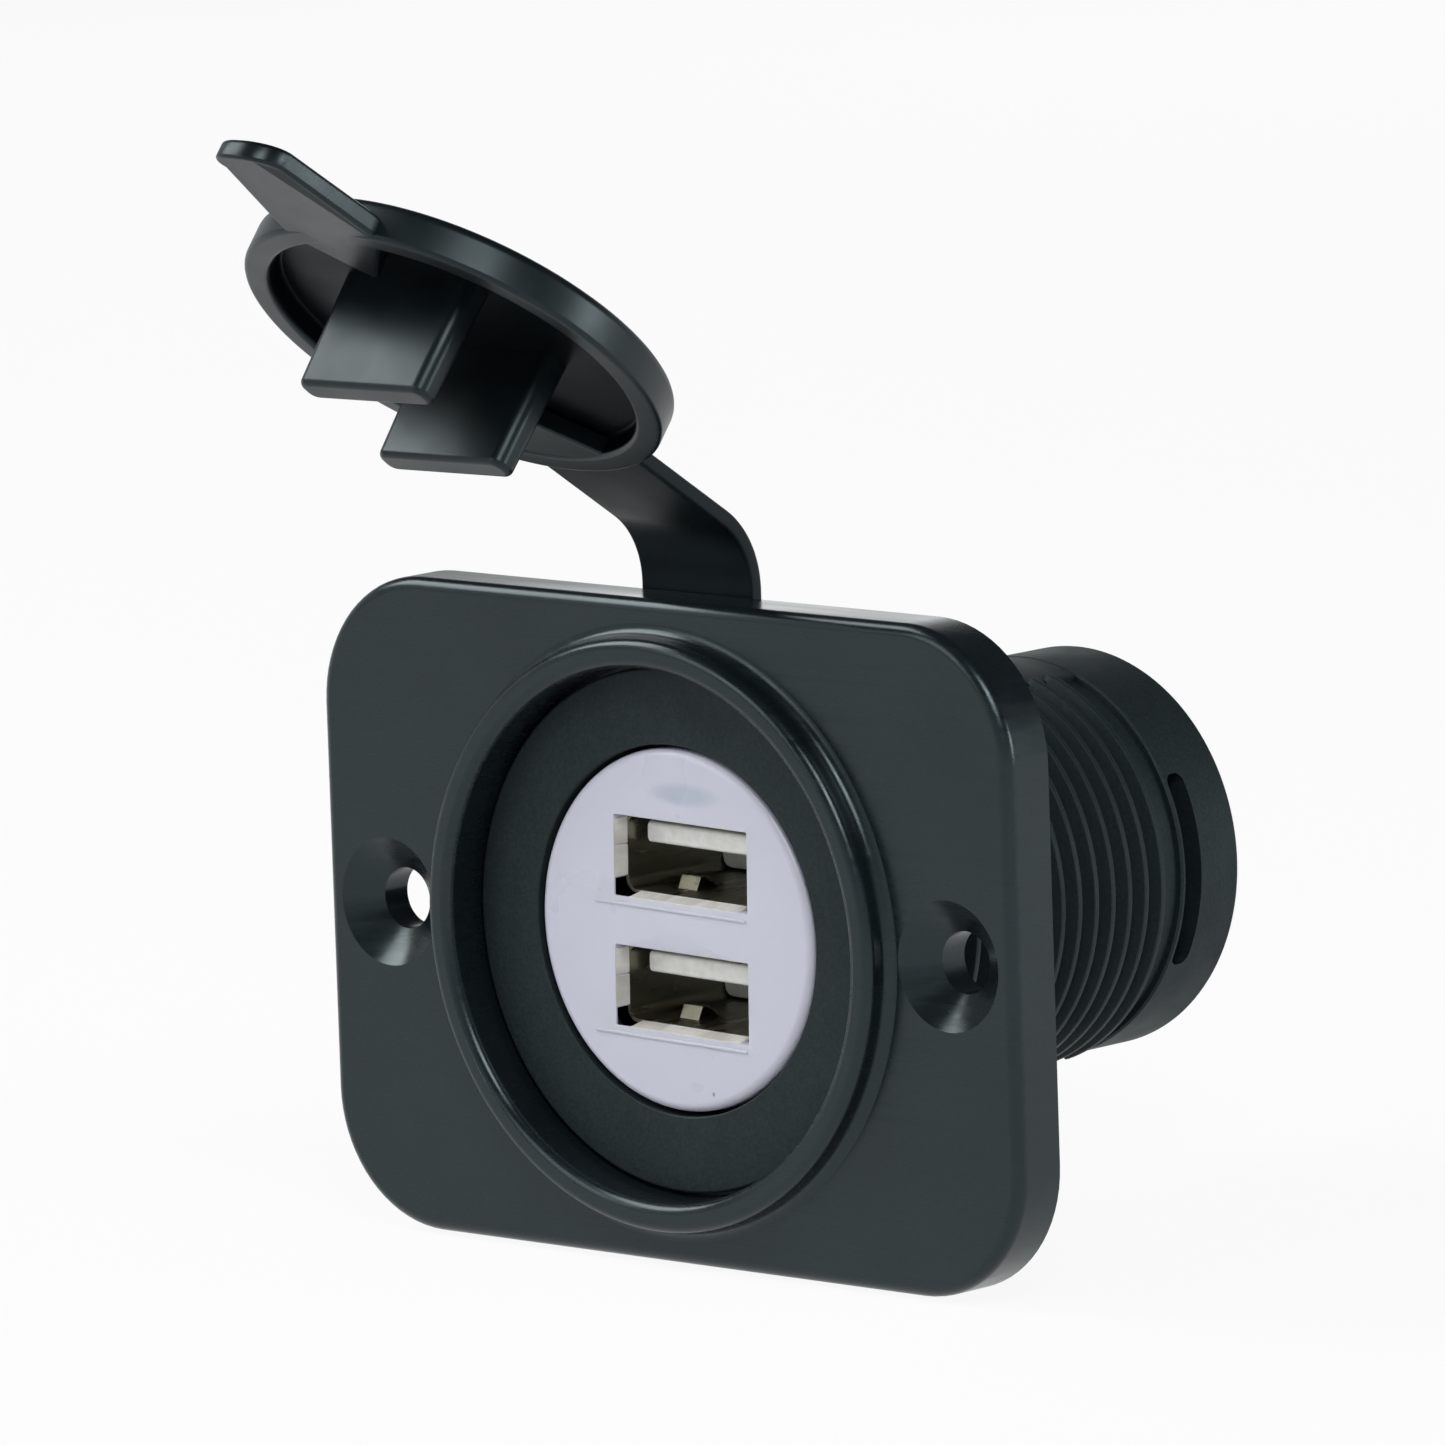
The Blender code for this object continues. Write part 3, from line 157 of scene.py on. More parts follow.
class PortSizes(PropertyGroup):
    bezel_radius: length("Insert radius", "Radius of the white insert", 12.86)
    bezel_face: length("Insert face", "Thickness of the insert's face", 1.5)
    bezel_wall: length("Insert wall", "Thickness of the insert's skirt", 1.1)
    bezel_round: length("Insert edge", "Rounding round the insert's face", 0.7)
    pitch: length("Port pitch", "Distance between the two ports", 9.26)
    offset: length("Port offset", "How far the ports stand to the right", 0.4)
    window_width: length("Window width", "Width of an insert window", 12.6)
    window_height: length("Window height", "Height of an insert window", 5.8)
    width: length("Opening width", "Inner width of a shell", 12.3)
    height: length("Opening height", "Inner height of a shell", 5.2)
    port_height: length("Port height", "Height of the opening that the plugs are set from", 5.12)
    wall: length("Shell wall", "Thickness of the metal shell", 0.25)
    corner: length("Shell corner", "Outer corner radius of the shell", 1.0)
    shell_length: length("Shell length", "Depth of the metal shell", 14.0)
    set_back: length("Set back", "How far the lips lie behind the insert's face", 0.03)
    lip_depth: length("Lip depth", "Length of the flared lips", 1.3)
    side_flare: length("Side flare", "How far the side lips flare out", 0.14)
    lip_flare: length("Lip flare", "How far the lips above and below flare out", 0.28)
    tongue_back: length("Tongue back", "How much further back the tongue starts", 1.6)
    line_drop: length("Line drop", "Height of the fine line below a port's middle", 3.42)
    contact_back: length("Contact back", "How far the contacts start behind the tongue's front", 2.0)
    shift_right: length("Shift right", "How far the ports stand to the right of their place", 0.15)
    shift_up: length("Shift up", "How far the ports stand above their place", 0.2)
    turn: turning("Turn", "Turn of insert and ports in the plate", 1.5)


class CapSizes(PropertyGroup):
    radius: length("Cap radius", "Outer radius of the flip cap", 15.6)
    height: length("Cap height", "Height of the cap's rim", 3.0)
    rim: length("Cap rim", "Thickness of the cap's rim", 1.95)
    floor: length("Cap floor", "Thickness of the cap's floor", 1.3)
    outer_round: length("Outer round", "Rounding of the cap's outer edge", 0.8)
    rim_round: length("Rim round", "Rounding of the rim", 0.4)
    tab_width: length("Tab width", "Width of the pull tab at the rim", 8.4)
    tab_tip: length("Tab tip", "Width of the pull tab near its tip", 5.6)
    tab_reach: length("Tab reach", "How far the tab stands out", 10.5)
    tab_thickness: length("Tab thickness", "Thickness of the tab", 1.5)
    tab_corner: length("Tab corner", "Corner radius of the tab's tip", 2.5)
    tab_straight: length("Tab straight", "How far out the tab runs straight", 4.5)
    tab_drop: length("Tab drop", "How far the tab's tip bends towards the plugs", 1.0)
    wedge: length("Wedge", "How far the tab's root reaches into the hollow", 4.6)
    plug_width: length("Plug width", "Width of a plug at its tip", 11.9)
    plug_thickness: length("Plug thickness", "Thickness of a plug at its tip", 2.2)
    plug_length: length("Plug length", "How far a plug stands up", 8.8)
    plug_taper: length("Plug taper", "How much a plug widens to its foot, on each side", 0.25)
    plug_corner: length("Plug corner", "Rounding of a plug's long edges", 0.9)
    plug_end: length("Plug end", "Rounding of a plug's end", 0.45)
    plug_clearance: length("Plug clearance", "Gap between a plug and a port's floor", 0.45)
    rise: length("Closed rise", "How far the closed cap's centre stands above the axis", 0.45)
    forward: length("Forward", "Where the open cap's centre stands in front", 21.7)
    up: length("Height", "How high the open cap's centre stands", 45.45)
    tilt: turning("Tilt", "Lean of the open cap", 38.6)


class StrapSizes(PropertyGroup):
    width: length("Strap width", "Width of the strap", 10.5)
    thickness: length("Strap thickness", "Thickness of the strap", 1.2)
    bend: length("Bend radius", "Radius of the strap's bend", 6.5)
    edge: length("Edge round", "Rounding of the strap's edges", 0.3)
    root_height: length("Root height", "Where the strap leaves the ring's neck", 23.15)
    tilt: turning("End tilt", "Lean of the strap's upper run", 33.0)


class FinishColours(PropertyGroup):
    plate: colour("Plate", "Satin black moulded plate", (0.0060, 0.0095, 0.0115))
    body: colour("Body", "Matte black barrel and flange", (0.0105, 0.0155, 0.0172))
    rubber: colour("Rubber", "Black rubber of cap and strap", (0.0040, 0.0068, 0.0082))
    insert: colour("Insert", "Milky white insert", (0.56, 0.567, 0.66))
    # Painted shade: the shells' nickel darkened for the inside of the tubes and the leaf springs
    nickel_shade: colour("Shaded nickel", "Inside of the plated shells", (0.25, 0.245, 0.19))
    # Painted light: the shells' nickel brightened and made less metallic on the lips, where light falls
    nickel_lip: colour("Nickel lip", "Front lips of the plated shells", (0.95, 0.90, 0.86))
    tongue: colour("Tongue", "White insulator", (0.95, 0.94, 0.90))
    gold: colour("Gold", "Plated contacts", (0.83, 0.62, 0.28))
    board: colour("Board", "Solder mask of the boards", (0.03, 0.16, 0.07))
    brass: colour("Brass", "Blade terminals", (0.80, 0.66, 0.36))
    copper: colour("Copper", "Winding wire", (0.72, 0.33, 0.16))
    silver: colour("Silver", "Capacitor cans", (0.60, 0.60, 0.62))
    ferrite: colour("Ferrite", "Inductor core", (0.05, 0.05, 0.055))
    chip: colour("Chip", "Housings of the chip and the diode", (0.02, 0.02, 0.02))
    lamp: colour("Lamp", "Clear blue lamp", (0.25, 0.45, 0.90))


class StageSettings(PropertyGroup):
    azimuth: turning("Azimuth", "Camera angle round the object", 42.607)
    elevation: turning("Elevation", "Camera angle above the horizon", 8.547)
    roll: turning("Roll", "Camera roll", -1.901)
    distance: length("Distance", "Distance from camera to target", 1000.0)
    target: FloatVectorProperty(
        name="Target", description="Point in the middle of the picture", unit="LENGTH",
        default=(2.387 * MM, 0.0, 14.541 * MM), size=3,
    )
    lens: FloatProperty(name="Lens", description="Focal length in millimetres", default=356.94)
    sensor: FloatProperty(name="Sensor", description="Sensor width in millimetres", default=36.0)
    floor_colour: colour("Floor", "Plain pale floor", (0.80, 0.80, 0.80))


# Mesh helpers

def arc(centre, radius, start, end, steps):
    """Points on a circle from one angle to another, in degrees."""
    points = []
    for step in range(steps + 1):
        angle = math.radians(start + (end - start) * step / steps)
        points.append((centre[0] + radius * math.cos(angle), centre[1] + radius * math.sin(angle)))
    return points


def rounded_rectangle(width, height, radius, steps, centre=(0.0, 0.0)):
    """Points round a rectangle, with an arc of some steps at each corner."""
    across = width / 2 - radius
    up = height / 2 - radius
    points = []
    for sign_u, sign_v, start in ((1, 1, 0), (-1, 1, 90), (-1, -1, 180), (1, -1, 270)):
        corner = (centre[0] + sign_u * across, centre[1] + sign_v * up)
        points += arc(corner, radius, start, start + 90, steps)
    return points


def axes(u_axis, v_axis, origin):
    """A frame whose local X and Y run along the two axes given."""
    u_axis = Vector(u_axis)
    v_axis = Vector(v_axis)
    matrix = Matrix((u_axis, v_axis, u_axis.cross(v_axis))).transposed().to_4x4()
    matrix.translation = Vector(origin)
    return matrix


def facing_front(depth):
    """Outline u is world X and v is world Z."""
    return axes((1, 0, 0), (0, 0, 1), (0, depth, 0))


def facing_side(place):
    """Outline u is world Y and v is world Z."""
    return axes((0, 1, 0), (0, 0, 1), (place, 0, 0))


def facing_up(height):
    """Outline u is world X and v is world Y."""
    return axes((1, 0, 0), (0, 1, 0), (0, 0, height))


def along_barrel():
    """A lathe's height runs along world +Y."""
    return axes((1, 0, 0), (0, 0, -1), (0, 0, 0))


def shown(name, data):
    """A new object in the scene, for a mesh, a curve, a camera or a lamp."""
    made = bpy.data.objects.new(name, data)
    bpy.context.scene.collection.objects.link(made)
    return made


def from_bmesh(name, body):
    """A new object whose faces all point outwards."""
    bmesh.ops.recalc_face_normals(body, faces=body.faces)
    mesh = bpy.data.meshes.new(name)
    body.to_mesh(mesh)
    body.free()
    return shown(name, mesh)


def weld(mesh):
    """Merges double points and removes faces without an area."""
    body = bmesh.new()
    body.from_mesh(mesh)
    bmesh.ops.remove_doubles(body, verts=body.verts, dist=WELD)
    bmesh.ops.dissolve_degenerate(body, dist=WELD / 2, edges=body.edges)
    body.to_mesh(mesh)
    body.free()


def join_flats(mesh, distance, degrees):
    """Merges double points, and faces that lie in one plane."""
    body = bmesh.new()
    body.from_mesh(mesh)
    bmesh.ops.remove_doubles(body, verts=body.verts, dist=distance)
    bmesh.ops.dissolve_limit(
        body, angle_limit=math.radians(degrees), verts=body.verts, edges=body.edges, delimit={"NORMAL"},
    )
    body.to_mesh(mesh)
    body.free()


def applied(made):
    """The object with its modifiers turned into a plain mesh."""
    bpy.context.view_layer.update()
    graph = bpy.context.evaluated_depsgraph_get()
    mesh = bpy.data.meshes.new_from_object(made.evaluated_get(graph), depsgraph=graph)
    mesh.transform(made.matrix_world)
    name = made.name
    bpy.data.objects.remove(made, do_unlink=True)
    mesh.name = name
    return shown(name, mesh)


def lathe(name, profile, matrix, steps=FINE_STEPS, start=0.0, end=360.0, closed=True):
    """A profile of (radius, height) turned about the frame's Z axis, whole or in part."""
    whole = end - start >= 360.0
    count = steps if whole else steps + 1
    body = bmesh.new()
    rings = []
    for radius, height in profile:
        if radius < LEVEL:
            pole = body.verts.new((0, 0, height))
            rings.append([pole] * count)
            continue
        ring = []
        for step in range(count):
            angle = math.radians(start + (end - start) * step / steps)
            ring.append(body.verts.new((radius * math.cos(angle), radius * math.sin(angle), height)))
        rings.append(ring)
    pairs = [(index, index + 1) for index in range(len(rings) - 1)]
    if closed:
        pairs.append((len(rings) - 1, 0))
    for low, high in pairs:
        for step in range(count if whole else count - 1):
            after = (step + 1) % count
            corners = [rings[low][step], rings[low][after], rings[high][after], rings[high][step]]
            corners = [corner for place, corner in enumerate(corners) if corner not in corners[:place]]
            if len(corners) > 2:
                body.faces.new(corners)
    if not whole:
        for step in (0, count - 1):
            body.faces.new([ring[step] for ring in rings])
    bmesh.ops.transform(body, matrix=matrix, verts=body.verts)
    return from_bmesh(name, body)


def plate_of(name, outlines, depth, matrix):
    """A flat outline with its holes, made thick. The frame gives its middle plane."""
    curve = bpy.data.curves.new(name, "CURVE")
    curve.dimensions = "2D"
    curve.fill_mode = "BOTH"
    curve.extrude = depth / 2
    for outline in outlines:
        spline = curve.splines.new("POLY")
        spline.points.add(len(outline) - 1)
        for point, (u, v) in zip(spline.points, outline):
            point.co = (u, v, 0.0, 1.0)
        spline.use_cyclic_u = True
    flat = shown(name, curve)
    flat.matrix_world = matrix
    made = applied(flat)
    join_flats(made.data, distance=WELD, degrees=0.3)
    return made


def block(name, low, high):
    """A box between two corners."""
    body = bmesh.new()
    bmesh.ops.create_cube(body, size=1.0)
    low = Vector(low)
    size = Vector(high) - low
    for vertex in body.verts:
        vertex.co = Vector([low[i] + (vertex.co[i] + 0.5) * size[i] for i in range(3)])
    return from_bmesh(name, body)


def combine(body, tool, operation):
    """Applies one exact boolean and removes the tool."""
    step = body.modifiers.new("combine", "BOOLEAN")
    step.operation = operation
    step.solver = "EXACT"
    step.object = tool
    made = applied(body)
    bpy.data.objects.remove(tool, do_unlink=True)
    weld(made.data)
    return made


def round_edges(made, chosen, width, segments):
    """Rounds the edges that a test picks."""
    body = bmesh.new()
    body.from_mesh(made.data)
    edges = [edge for edge in body.edges if chosen(edge)]
    bmesh.ops.bevel(
        body, geom=edges, offset=width, segments=segments, profile=0.5, affect="EDGES",
        clamp_overlap=True,
    )
    body.to_mesh(made.data)
    body.free()
    return made


def soften(made, width, segments=2, sharp=40.0):
    """Rounds every sharp edge a little, as a mould does."""
    bevel = made.modifiers.new("soften", "BEVEL")
    bevel.width = width
    bevel.segments = segments
    bevel.limit_method = "ANGLE"
    bevel.angle_limit = math.radians(sharp)
    return applied(made)


def dressed(made, finish, body, slot, *nodes):
    """Gives a piece its finish and its body, and hides the nodes that it stands for. The slot is not
    used.
    """
    made.data.materials.clear()
    made.data.materials.append(finish_named(finish))
    made.data.shade_smooth()
    made.data.set_sharp_from_angle(angle=CREASE)
    weights = made.modifiers.new("weights", "WEIGHTED_NORMAL")
    weights.keep_sharp = True
    weights.weight = 80
    made = applied(made)
    if body is not None:
        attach(made, body)
    if nodes:
        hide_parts(*nodes)
    return made


def copy_of(node, name, softening):
    """A merged copy of a CAD node, with its edges softened."""
    made = shown(name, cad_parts[node].data.copy())
    join_flats(made.data, distance=WELD / 2, degrees=0.5)
    return soften(made, softening)


# Finishes

# The imported model brings plain materials of its own, named after the slots
FINISH_PREFIX = "look_"

# Tint of the highlights on the black finishes
COOL = (0.80, 1.0, 1.05, 1.0)

# Marks that run along the barrel
ROLLED = (1.0, 0.2, 1.0)

# The Mix node's colour sockets, which have a number but no name of their own
MIX_BELOW = 6
MIX_ABOVE = 7
MIX_RESULT = 2


def add_node(tree, kind, inputs=(), **settings):
    """A new node. An input takes a value, or an output that is linked to it."""
    made = tree.nodes.new(kind)
    for key, value in settings.items():
        setattr(made, key, value)
    for socket, value in dict(inputs).items():
        if isinstance(value, bpy.types.NodeSocket):
            tree.links.new(value, made.inputs[socket])
        else:
            made.inputs[socket].default_value = value
    return made


class Finish:
    """A principled material with patterns on the object's own coordinates."""

    def __init__(self, name, tone, metallic=0.0, specular=0.5):
        material = bpy.data.materials.new(FINISH_PREFIX + name)
        material.use_nodes = True
        self.tree = material.node_tree
        self.shader = self.tree.nodes["Principled BSDF"]
        self.tone = tuple(tone)
        self.set("Base Color", (*tone, 1.0))
        self.set("Metallic", metallic)
        self.set("Specular IOR Level", specular)
        self.place = self.add("ShaderNodeTexCoord").outputs["Object"]

    def add(self, kind, inputs=(), **settings):
        return add_node(self.tree, kind, inputs, **settings)

    def set(self, socket, value):
        self.shader.inputs[socket].default_value = value

    def lead(self, source, socket):
        self.tree.links.new(source, self.shader.inputs[socket])

    def noise(self, scale, detail, stretch=(1, 1, 1)):
        place = self.add("ShaderNodeMapping", {"Vector": self.place, "Scale": stretch})
        inputs = {"Vector": place.outputs["Vector"], "Scale": scale, "Detail": detail}
        return self.add("ShaderNodeTexNoise", inputs).outputs["Fac"]

    def ranged(self, source, low, high, from_low=0.3, from_high=0.7):
        """The span that a noise mostly has, or the one given, brought to low and high."""
        return self.add("ShaderNodeMapRange", {
            "Value": source, "From Min": from_low, "From Max": from_high, "To Min": low, "To Max": high,
        }).outputs["Result"]

    def mixed(self, mask, below, above):
        """One colour below and one above, which shows where the mask says."""
        return self.add("ShaderNodeMix", {
            0: mask, MIX_BELOW: (*below, 1.0), MIX_ABOVE: (*above, 1.0),
        }, data_type="RGBA")

    def vary_tone(self, source, dark, light):
        below = [channel * dark for channel in self.tone]
        above = [min(channel * light, 1.0) for channel in self.tone]
        mix = self.mixed(self.ranged(source, 0.0, 1.0), below, above)
        self.lead(mix.outputs[MIX_RESULT], "Base Color")

    def vary_roughness(self, source, low, high):
        self.lead(self.ranged(source, low, high), "Roughness")

    def spot(self, middle, reach, core):
        """1 inside an ellipse on the front, fading to 0 between its core and its edge."""
        place = self.add("ShaderNodeMapping", {
            "Vector": self.place, "Scale": (1 / reach[0], 0.0, 1 / reach[1]),
            "Location": (-middle[0] / reach[0], 0.0, -middle[1] / reach[1]),
        })
        distance = self.add("ShaderNodeVectorMath", {0: place.outputs["Vector"]}, operation="LENGTH")
        return self.ranged(distance.outputs["Value"], 1.0, 0.0, core, 1.0)

    def layered(self, layers):
        """The base tone with other tones laid over it, each where its mask says."""
        below = None
        for mask, tone in layers:
            mix = self.mixed(mask, self.tone, tone)
            if below is not None:
                self.tree.links.new(below, mix.inputs[MIX_BELOW])
            below = mix.outputs[MIX_RESULT]
        self.lead(below, "Base Color")

    def bump(self, source, strength, distance):
        bump = self.add("ShaderNodeBump", {"Height": source, "Strength": strength, "Distance": distance})
        self.lead(bump.outputs["Normal"], "Normal")


def satin_plate(tone):
    """Moulded black plastic with faint level brush marks."""
    finish = Finish("plate_black", tone, specular=0.42)
    finish.set("Specular Tint", COOL)
    brush = finish.noise(scale=260.0, detail=5.0, stretch=(0.16, 1.0, 6.0))
    cloud = finish.noise(scale=90.0, detail=3.0)
    finish.vary_roughness(brush, low=0.20, high=0.33)
    finish.vary_tone(cloud, dark=0.82, light=1.2)
    finish.bump(brush, strength=0.16, distance=0.02 * MM)


def matte_body(tone):
    """Black plastic with the fine grain of an etched mould."""
    finish = Finish("body_black", tone, specular=0.26)
    finish.set("Specular Tint", COOL)
    grain = finish.noise(scale=4200.0, detail=3.0)
    cloud = finish.noise(scale=220.0, detail=3.0)
    finish.vary_roughness(cloud, low=0.52, high=0.66)
    finish.vary_tone(grain, dark=0.75, light=1.35)
    finish.bump(grain, strength=0.5, distance=0.03 * MM)


def satin_rubber(name, tone, specular):
    """Black rubber with a soft sheen and a faint dusty unevenness."""
    finish = Finish(name, tone, specular=specular)
    finish.set("Specular Tint", COOL)
    dust = finish.noise(scale=160.0, detail=6.0)
    grain = finish.noise(scale=2600.0, detail=2.0)
    finish.vary_roughness(dust, low=0.28, high=0.42)
    finish.vary_tone(dust, dark=0.85, light=1.2)
    finish.bump(grain, strength=0.18, distance=0.02 * MM)


def milky_insert(tone):
    """Translucent white plastic, with a painted shadow of the lamp behind it above the ports, and one
    dark speck.
    """
    finish = Finish("insert_white", tone)
    # Painted shadow: a darker, bluer ellipse where the lamp sits behind the translucent insert
    led_shadow_tone = (0.43, 0.47, 0.56)
    speck_tone = (0.12, 0.12, 0.16)
    cloud = finish.noise(scale=120.0, detail=3.0)
    grain = finish.noise(scale=3000.0, detail=2.0)
    led_shadow_mask = finish.spot(middle=(1.2 * MM, 9.7 * MM), reach=(3.8 * MM, 0.95 * MM), core=0.45)
    speck = finish.spot(middle=(3.15 * MM, -11.3 * MM), reach=(0.16 * MM, 0.22 * MM), core=0.1)
    finish.layered([(led_shadow_mask, led_shadow_tone), (speck, speck_tone)])
    finish.vary_roughness(cloud, low=0.26, high=0.36)
    finish.set("Subsurface Weight", 0.25)
    finish.set("Subsurface Radius", (1.0, 1.0, 1.2))
    finish.set("Subsurface Scale", 1.2 * MM)
    finish.bump(grain, strength=0.06, distance=0.01 * MM)


def plated(name, tone, roughness, stretch=(1, 1, 1), metallic=1.0):
    """Bright plated sheet metal with fine rolling marks."""
    finish = Finish(name, tone, metallic=metallic)
    marks = finish.noise(scale=900.0, detail=4.0, stretch=stretch)
    finish.vary_roughness(marks, low=roughness * 0.7, high=roughness * 1.4)
    finish.vary_tone(marks, dark=0.86, light=1.1)
    finish.bump(marks, strength=0.12, distance=0.01 * MM)


def moulded(name, tone, roughness):
    """Plain moulded plastic or coated board with a light grain."""
    finish = Finish(name, tone)
    grain = finish.noise(scale=1400.0, detail=3.0)
    finish.vary_roughness(grain, low=roughness * 0.8, high=roughness * 1.2)
    finish.vary_tone(grain, dark=0.9, light=1.08)
    finish.bump(grain, strength=0.1, distance=0.01 * MM)


def finish_named(name):
    """The finish of this name, and not the imported model's plain material."""
    return bpy.data.materials[FINISH_PREFIX + name]


# Stage

def cleared_tree(holder):
    """The node tree of a world or a material, with nothing in it."""
    holder.use_nodes = True
    holder.node_tree.nodes.clear()
    return holder.node_tree


def two_surfaces(tree, output, share, first, second):
    """Shows the first surface, and the second one over it by its share."""
    mix = add_node(tree, "ShaderNodeMixShader", {0: share, 1: first.outputs[0], 2: second.outputs[0]})
    add_node(tree, output, {"Surface": mix.outputs[0]})


class SOCKET_OT_stage(Operator):
    """Sets up the camera, the lamps, the world and the pale floor"""
    bl_idname = "socket.stage"
    bl_label = "Stage"

    def execute(self, context):
        settings = context.scene.socket_stage
        context.scene.view_settings.view_transform = "Standard"
        self.camera(context, settings)
        self.world(context)
        self.floor(settings)
        self.lamps()
        return {"FINISHED"}

    def camera(self, context, settings):
        azimuth = settings.azimuth
        elevation = settings.elevation
        away = Vector((
            math.sin(azimuth) * math.cos(elevation), -math.cos(azimuth) * math.cos(elevation),
            math.sin(elevation),
        ))
        right = Vector((math.cos(azimuth), math.sin(azimuth), 0.0))
        up = right.cross(-away)
        rolled_right = right * math.cos(settings.roll) + up * math.sin(settings.roll)
        rolled_up = -right * math.sin(settings.roll) + up * math.cos(settings.roll)
        camera = bpy.data.cameras.new("camera")
        camera.lens = settings.lens
        camera.sensor_width = settings.sensor
        camera.clip_start = 0.05
        camera.clip_end = 20.0
        holder = shown("camera", camera)
        matrix = Matrix((rolled_right, rolled_up, away)).transposed().to_4x4()
        matrix.translation = Vector(settings.target) + away * settings.distance
        holder.matrix_world = matrix
        context.scene.camera = holder

    def world(self, context):
        """A pale horizon under a dark ceiling for the object, and one light tone for the camera."""
        world = bpy.data.worlds.new("studio")
        context.scene.world = world
        tree = cleared_tree(world)
        place = add_node(tree, "ShaderNodeTexCoord").outputs["Generated"]
        height = add_node(tree, "ShaderNodeSeparateXYZ", {0: place}).outputs["Z"]
        share = add_node(tree, "ShaderNodeMapRange", {"Value": height, "From Min": -1.0})
        ramp = add_node(tree, "ShaderNodeValToRGB", {0: share.outputs["Result"]})
        levels = [(0.0, 0.45), (0.46, 0.60), (0.60, 0.60), (0.73, 0.05), (1.0, 0.03)]
        tint = Vector((0.95, 1.0, 1.02))
        while len(ramp.color_ramp.elements) < len(levels):
            ramp.color_ramp.elements.new(0.5)
        for stop, (position, level) in zip(ramp.color_ramp.elements, levels):
            stop.position = position
            stop.color = (*(tint * level), 1.0)
        soft = add_node(tree, "ShaderNodeBackground", {"Color": ramp.outputs["Color"]})
        plain = add_node(tree, "ShaderNodeBackground")
        seen = add_node(tree, "ShaderNodeLightPath").outputs["Is Camera Ray"]
        two_surfaces(tree, "ShaderNodeOutputWorld", seen, soft, plain)

    def floor(self, settings):
        """A square floor just under the lowest solid."""
        gap = 0.3 * MM
        level = CAD_BOX[0].z - gap
        mesh = bpy.data.meshes.new("floor")
        reach = 1.6
        corners = [(-reach, -reach), (reach, -reach), (reach, reach), (-reach, reach)]
        mesh.from_pydata([(x, y, level) for x, y in corners], [], [(0, 1, 2, 3)])
        floor = shown("floor", mesh)
        floor.data.materials.append(self.floor_finish(settings.floor_colour))

    def floor_finish(self, tone):
        """Pale matte floor, lifted towards white for the camera and in reflections."""
        material = bpy.data.materials.new("floor")
        tree = cleared_tree(material)
        matte = add_node(tree, "ShaderNodeBsdfDiffuse", {"Color": (*tone, 1.0)})
        glow = add_node(tree, "ShaderNodeEmission")
        # How much of what the camera sees of the floor is plain white
        lift = 0.92
        ray = add_node(tree, "ShaderNodeLightPath").outputs
        either = {0: ray["Is Camera Ray"], 1: ray["Is Glossy Ray"]}
        seen = add_node(tree, "ShaderNodeMath", either, operation="MAXIMUM").outputs[0]
        share = add_node(tree, "ShaderNodeMath", {0: seen, 1: lift}, operation="MULTIPLY").outputs[0]
        two_surfaces(tree, "ShaderNodeOutputMaterial", share, matte, glow)
        return material

    def lamps(self):
        """Soft boxes: one over the camera, two at its left, one at its right, a weak one behind."""
        aim = Vector((0.0, 0.0, 15.0 * MM))
        # Name, place, size in metres and power in watts
        boxes = [
            ("key", (0.55, -0.45, 0.62), 0.36, 4.0),
            ("front", (-0.40, -0.80, 0.45), 0.45, 1.8),
            ("left", (-0.62, -0.28, 0.62), 0.45, 4.6),
            ("right", (0.85, 0.38, 0.18), 0.24, 2.0),
            ("back", (-0.50, 0.73, 0.20), 0.30, 0.4),
        ]
        for name, place, size, power in boxes:
            lamp = bpy.data.lights.new(name, "AREA")
            lamp.shape = "SQUARE"
            lamp.size = size
            lamp.energy = power
            holder = shown(name, lamp)
            holder.location = place
            holder.rotation_euler = (aim - Vector(place)).to_track_quat("-Z", "Y").to_euler()


# Finishes of the whole object

class SOCKET_OT_finishes(Operator):
    """Makes the materials of all pieces"""
    bl_idname = "socket.finishes"
    bl_label = "Finishes"

    def execute(self, context):
        tones = context.scene.socket_finishes
        # Painted shade: a darker, less glossy copy of the cap's rubber for the floor and wall of its
        # hollow
        painted_shade_factor = 0.6
        painted_shade_tone = [channel * painted_shade_factor for channel in tones.rubber]
        satin_plate(tones.plate)
        matte_body(tones.body)
        satin_rubber("rubber", tones.rubber, specular=0.34)
        # Painted shade: the strap's rubber with less sheen, standing in for the dark reflection on its
        # front
        satin_rubber("rubber_strap_painted_shade", tones.rubber, specular=0.16)
        satin_rubber("rubber_painted_shade", painted_shade_tone, specular=0.06)
        milky_insert(tones.insert)
        # The shells' nickel in two copies: darkened as painted shade inside the tubes, brightened as
        # painted light on the lips
        plated("nickel_shade", tones.nickel_shade, roughness=0.3, stretch=ROLLED)
        plated("nickel_lip", tones.nickel_lip, roughness=0.4, stretch=ROLLED, metallic=0.45)
        plated("contact_gold", tones.gold, roughness=0.22, stretch=ROLLED)
        plated("brass", tones.brass, roughness=0.3, stretch=(1.0, 0.3, 1.0))
        plated("copper", tones.copper, roughness=0.32, stretch=(1.0, 1.0, 8.0))
        plated("can_silver", tones.silver, roughness=0.28)
        moulded("tongue_white", tones.tongue, roughness=0.4)
        moulded("board_green", tones.board, roughness=0.4)
        moulded("ferrite", tones.ferrite, roughness=0.7)
        moulded("chip_black", tones.chip, roughness=0.5)
        moulded("led_blue", tones.lamp, roughness=0.15)
        return {"FINISHED"}


# Mounting plate

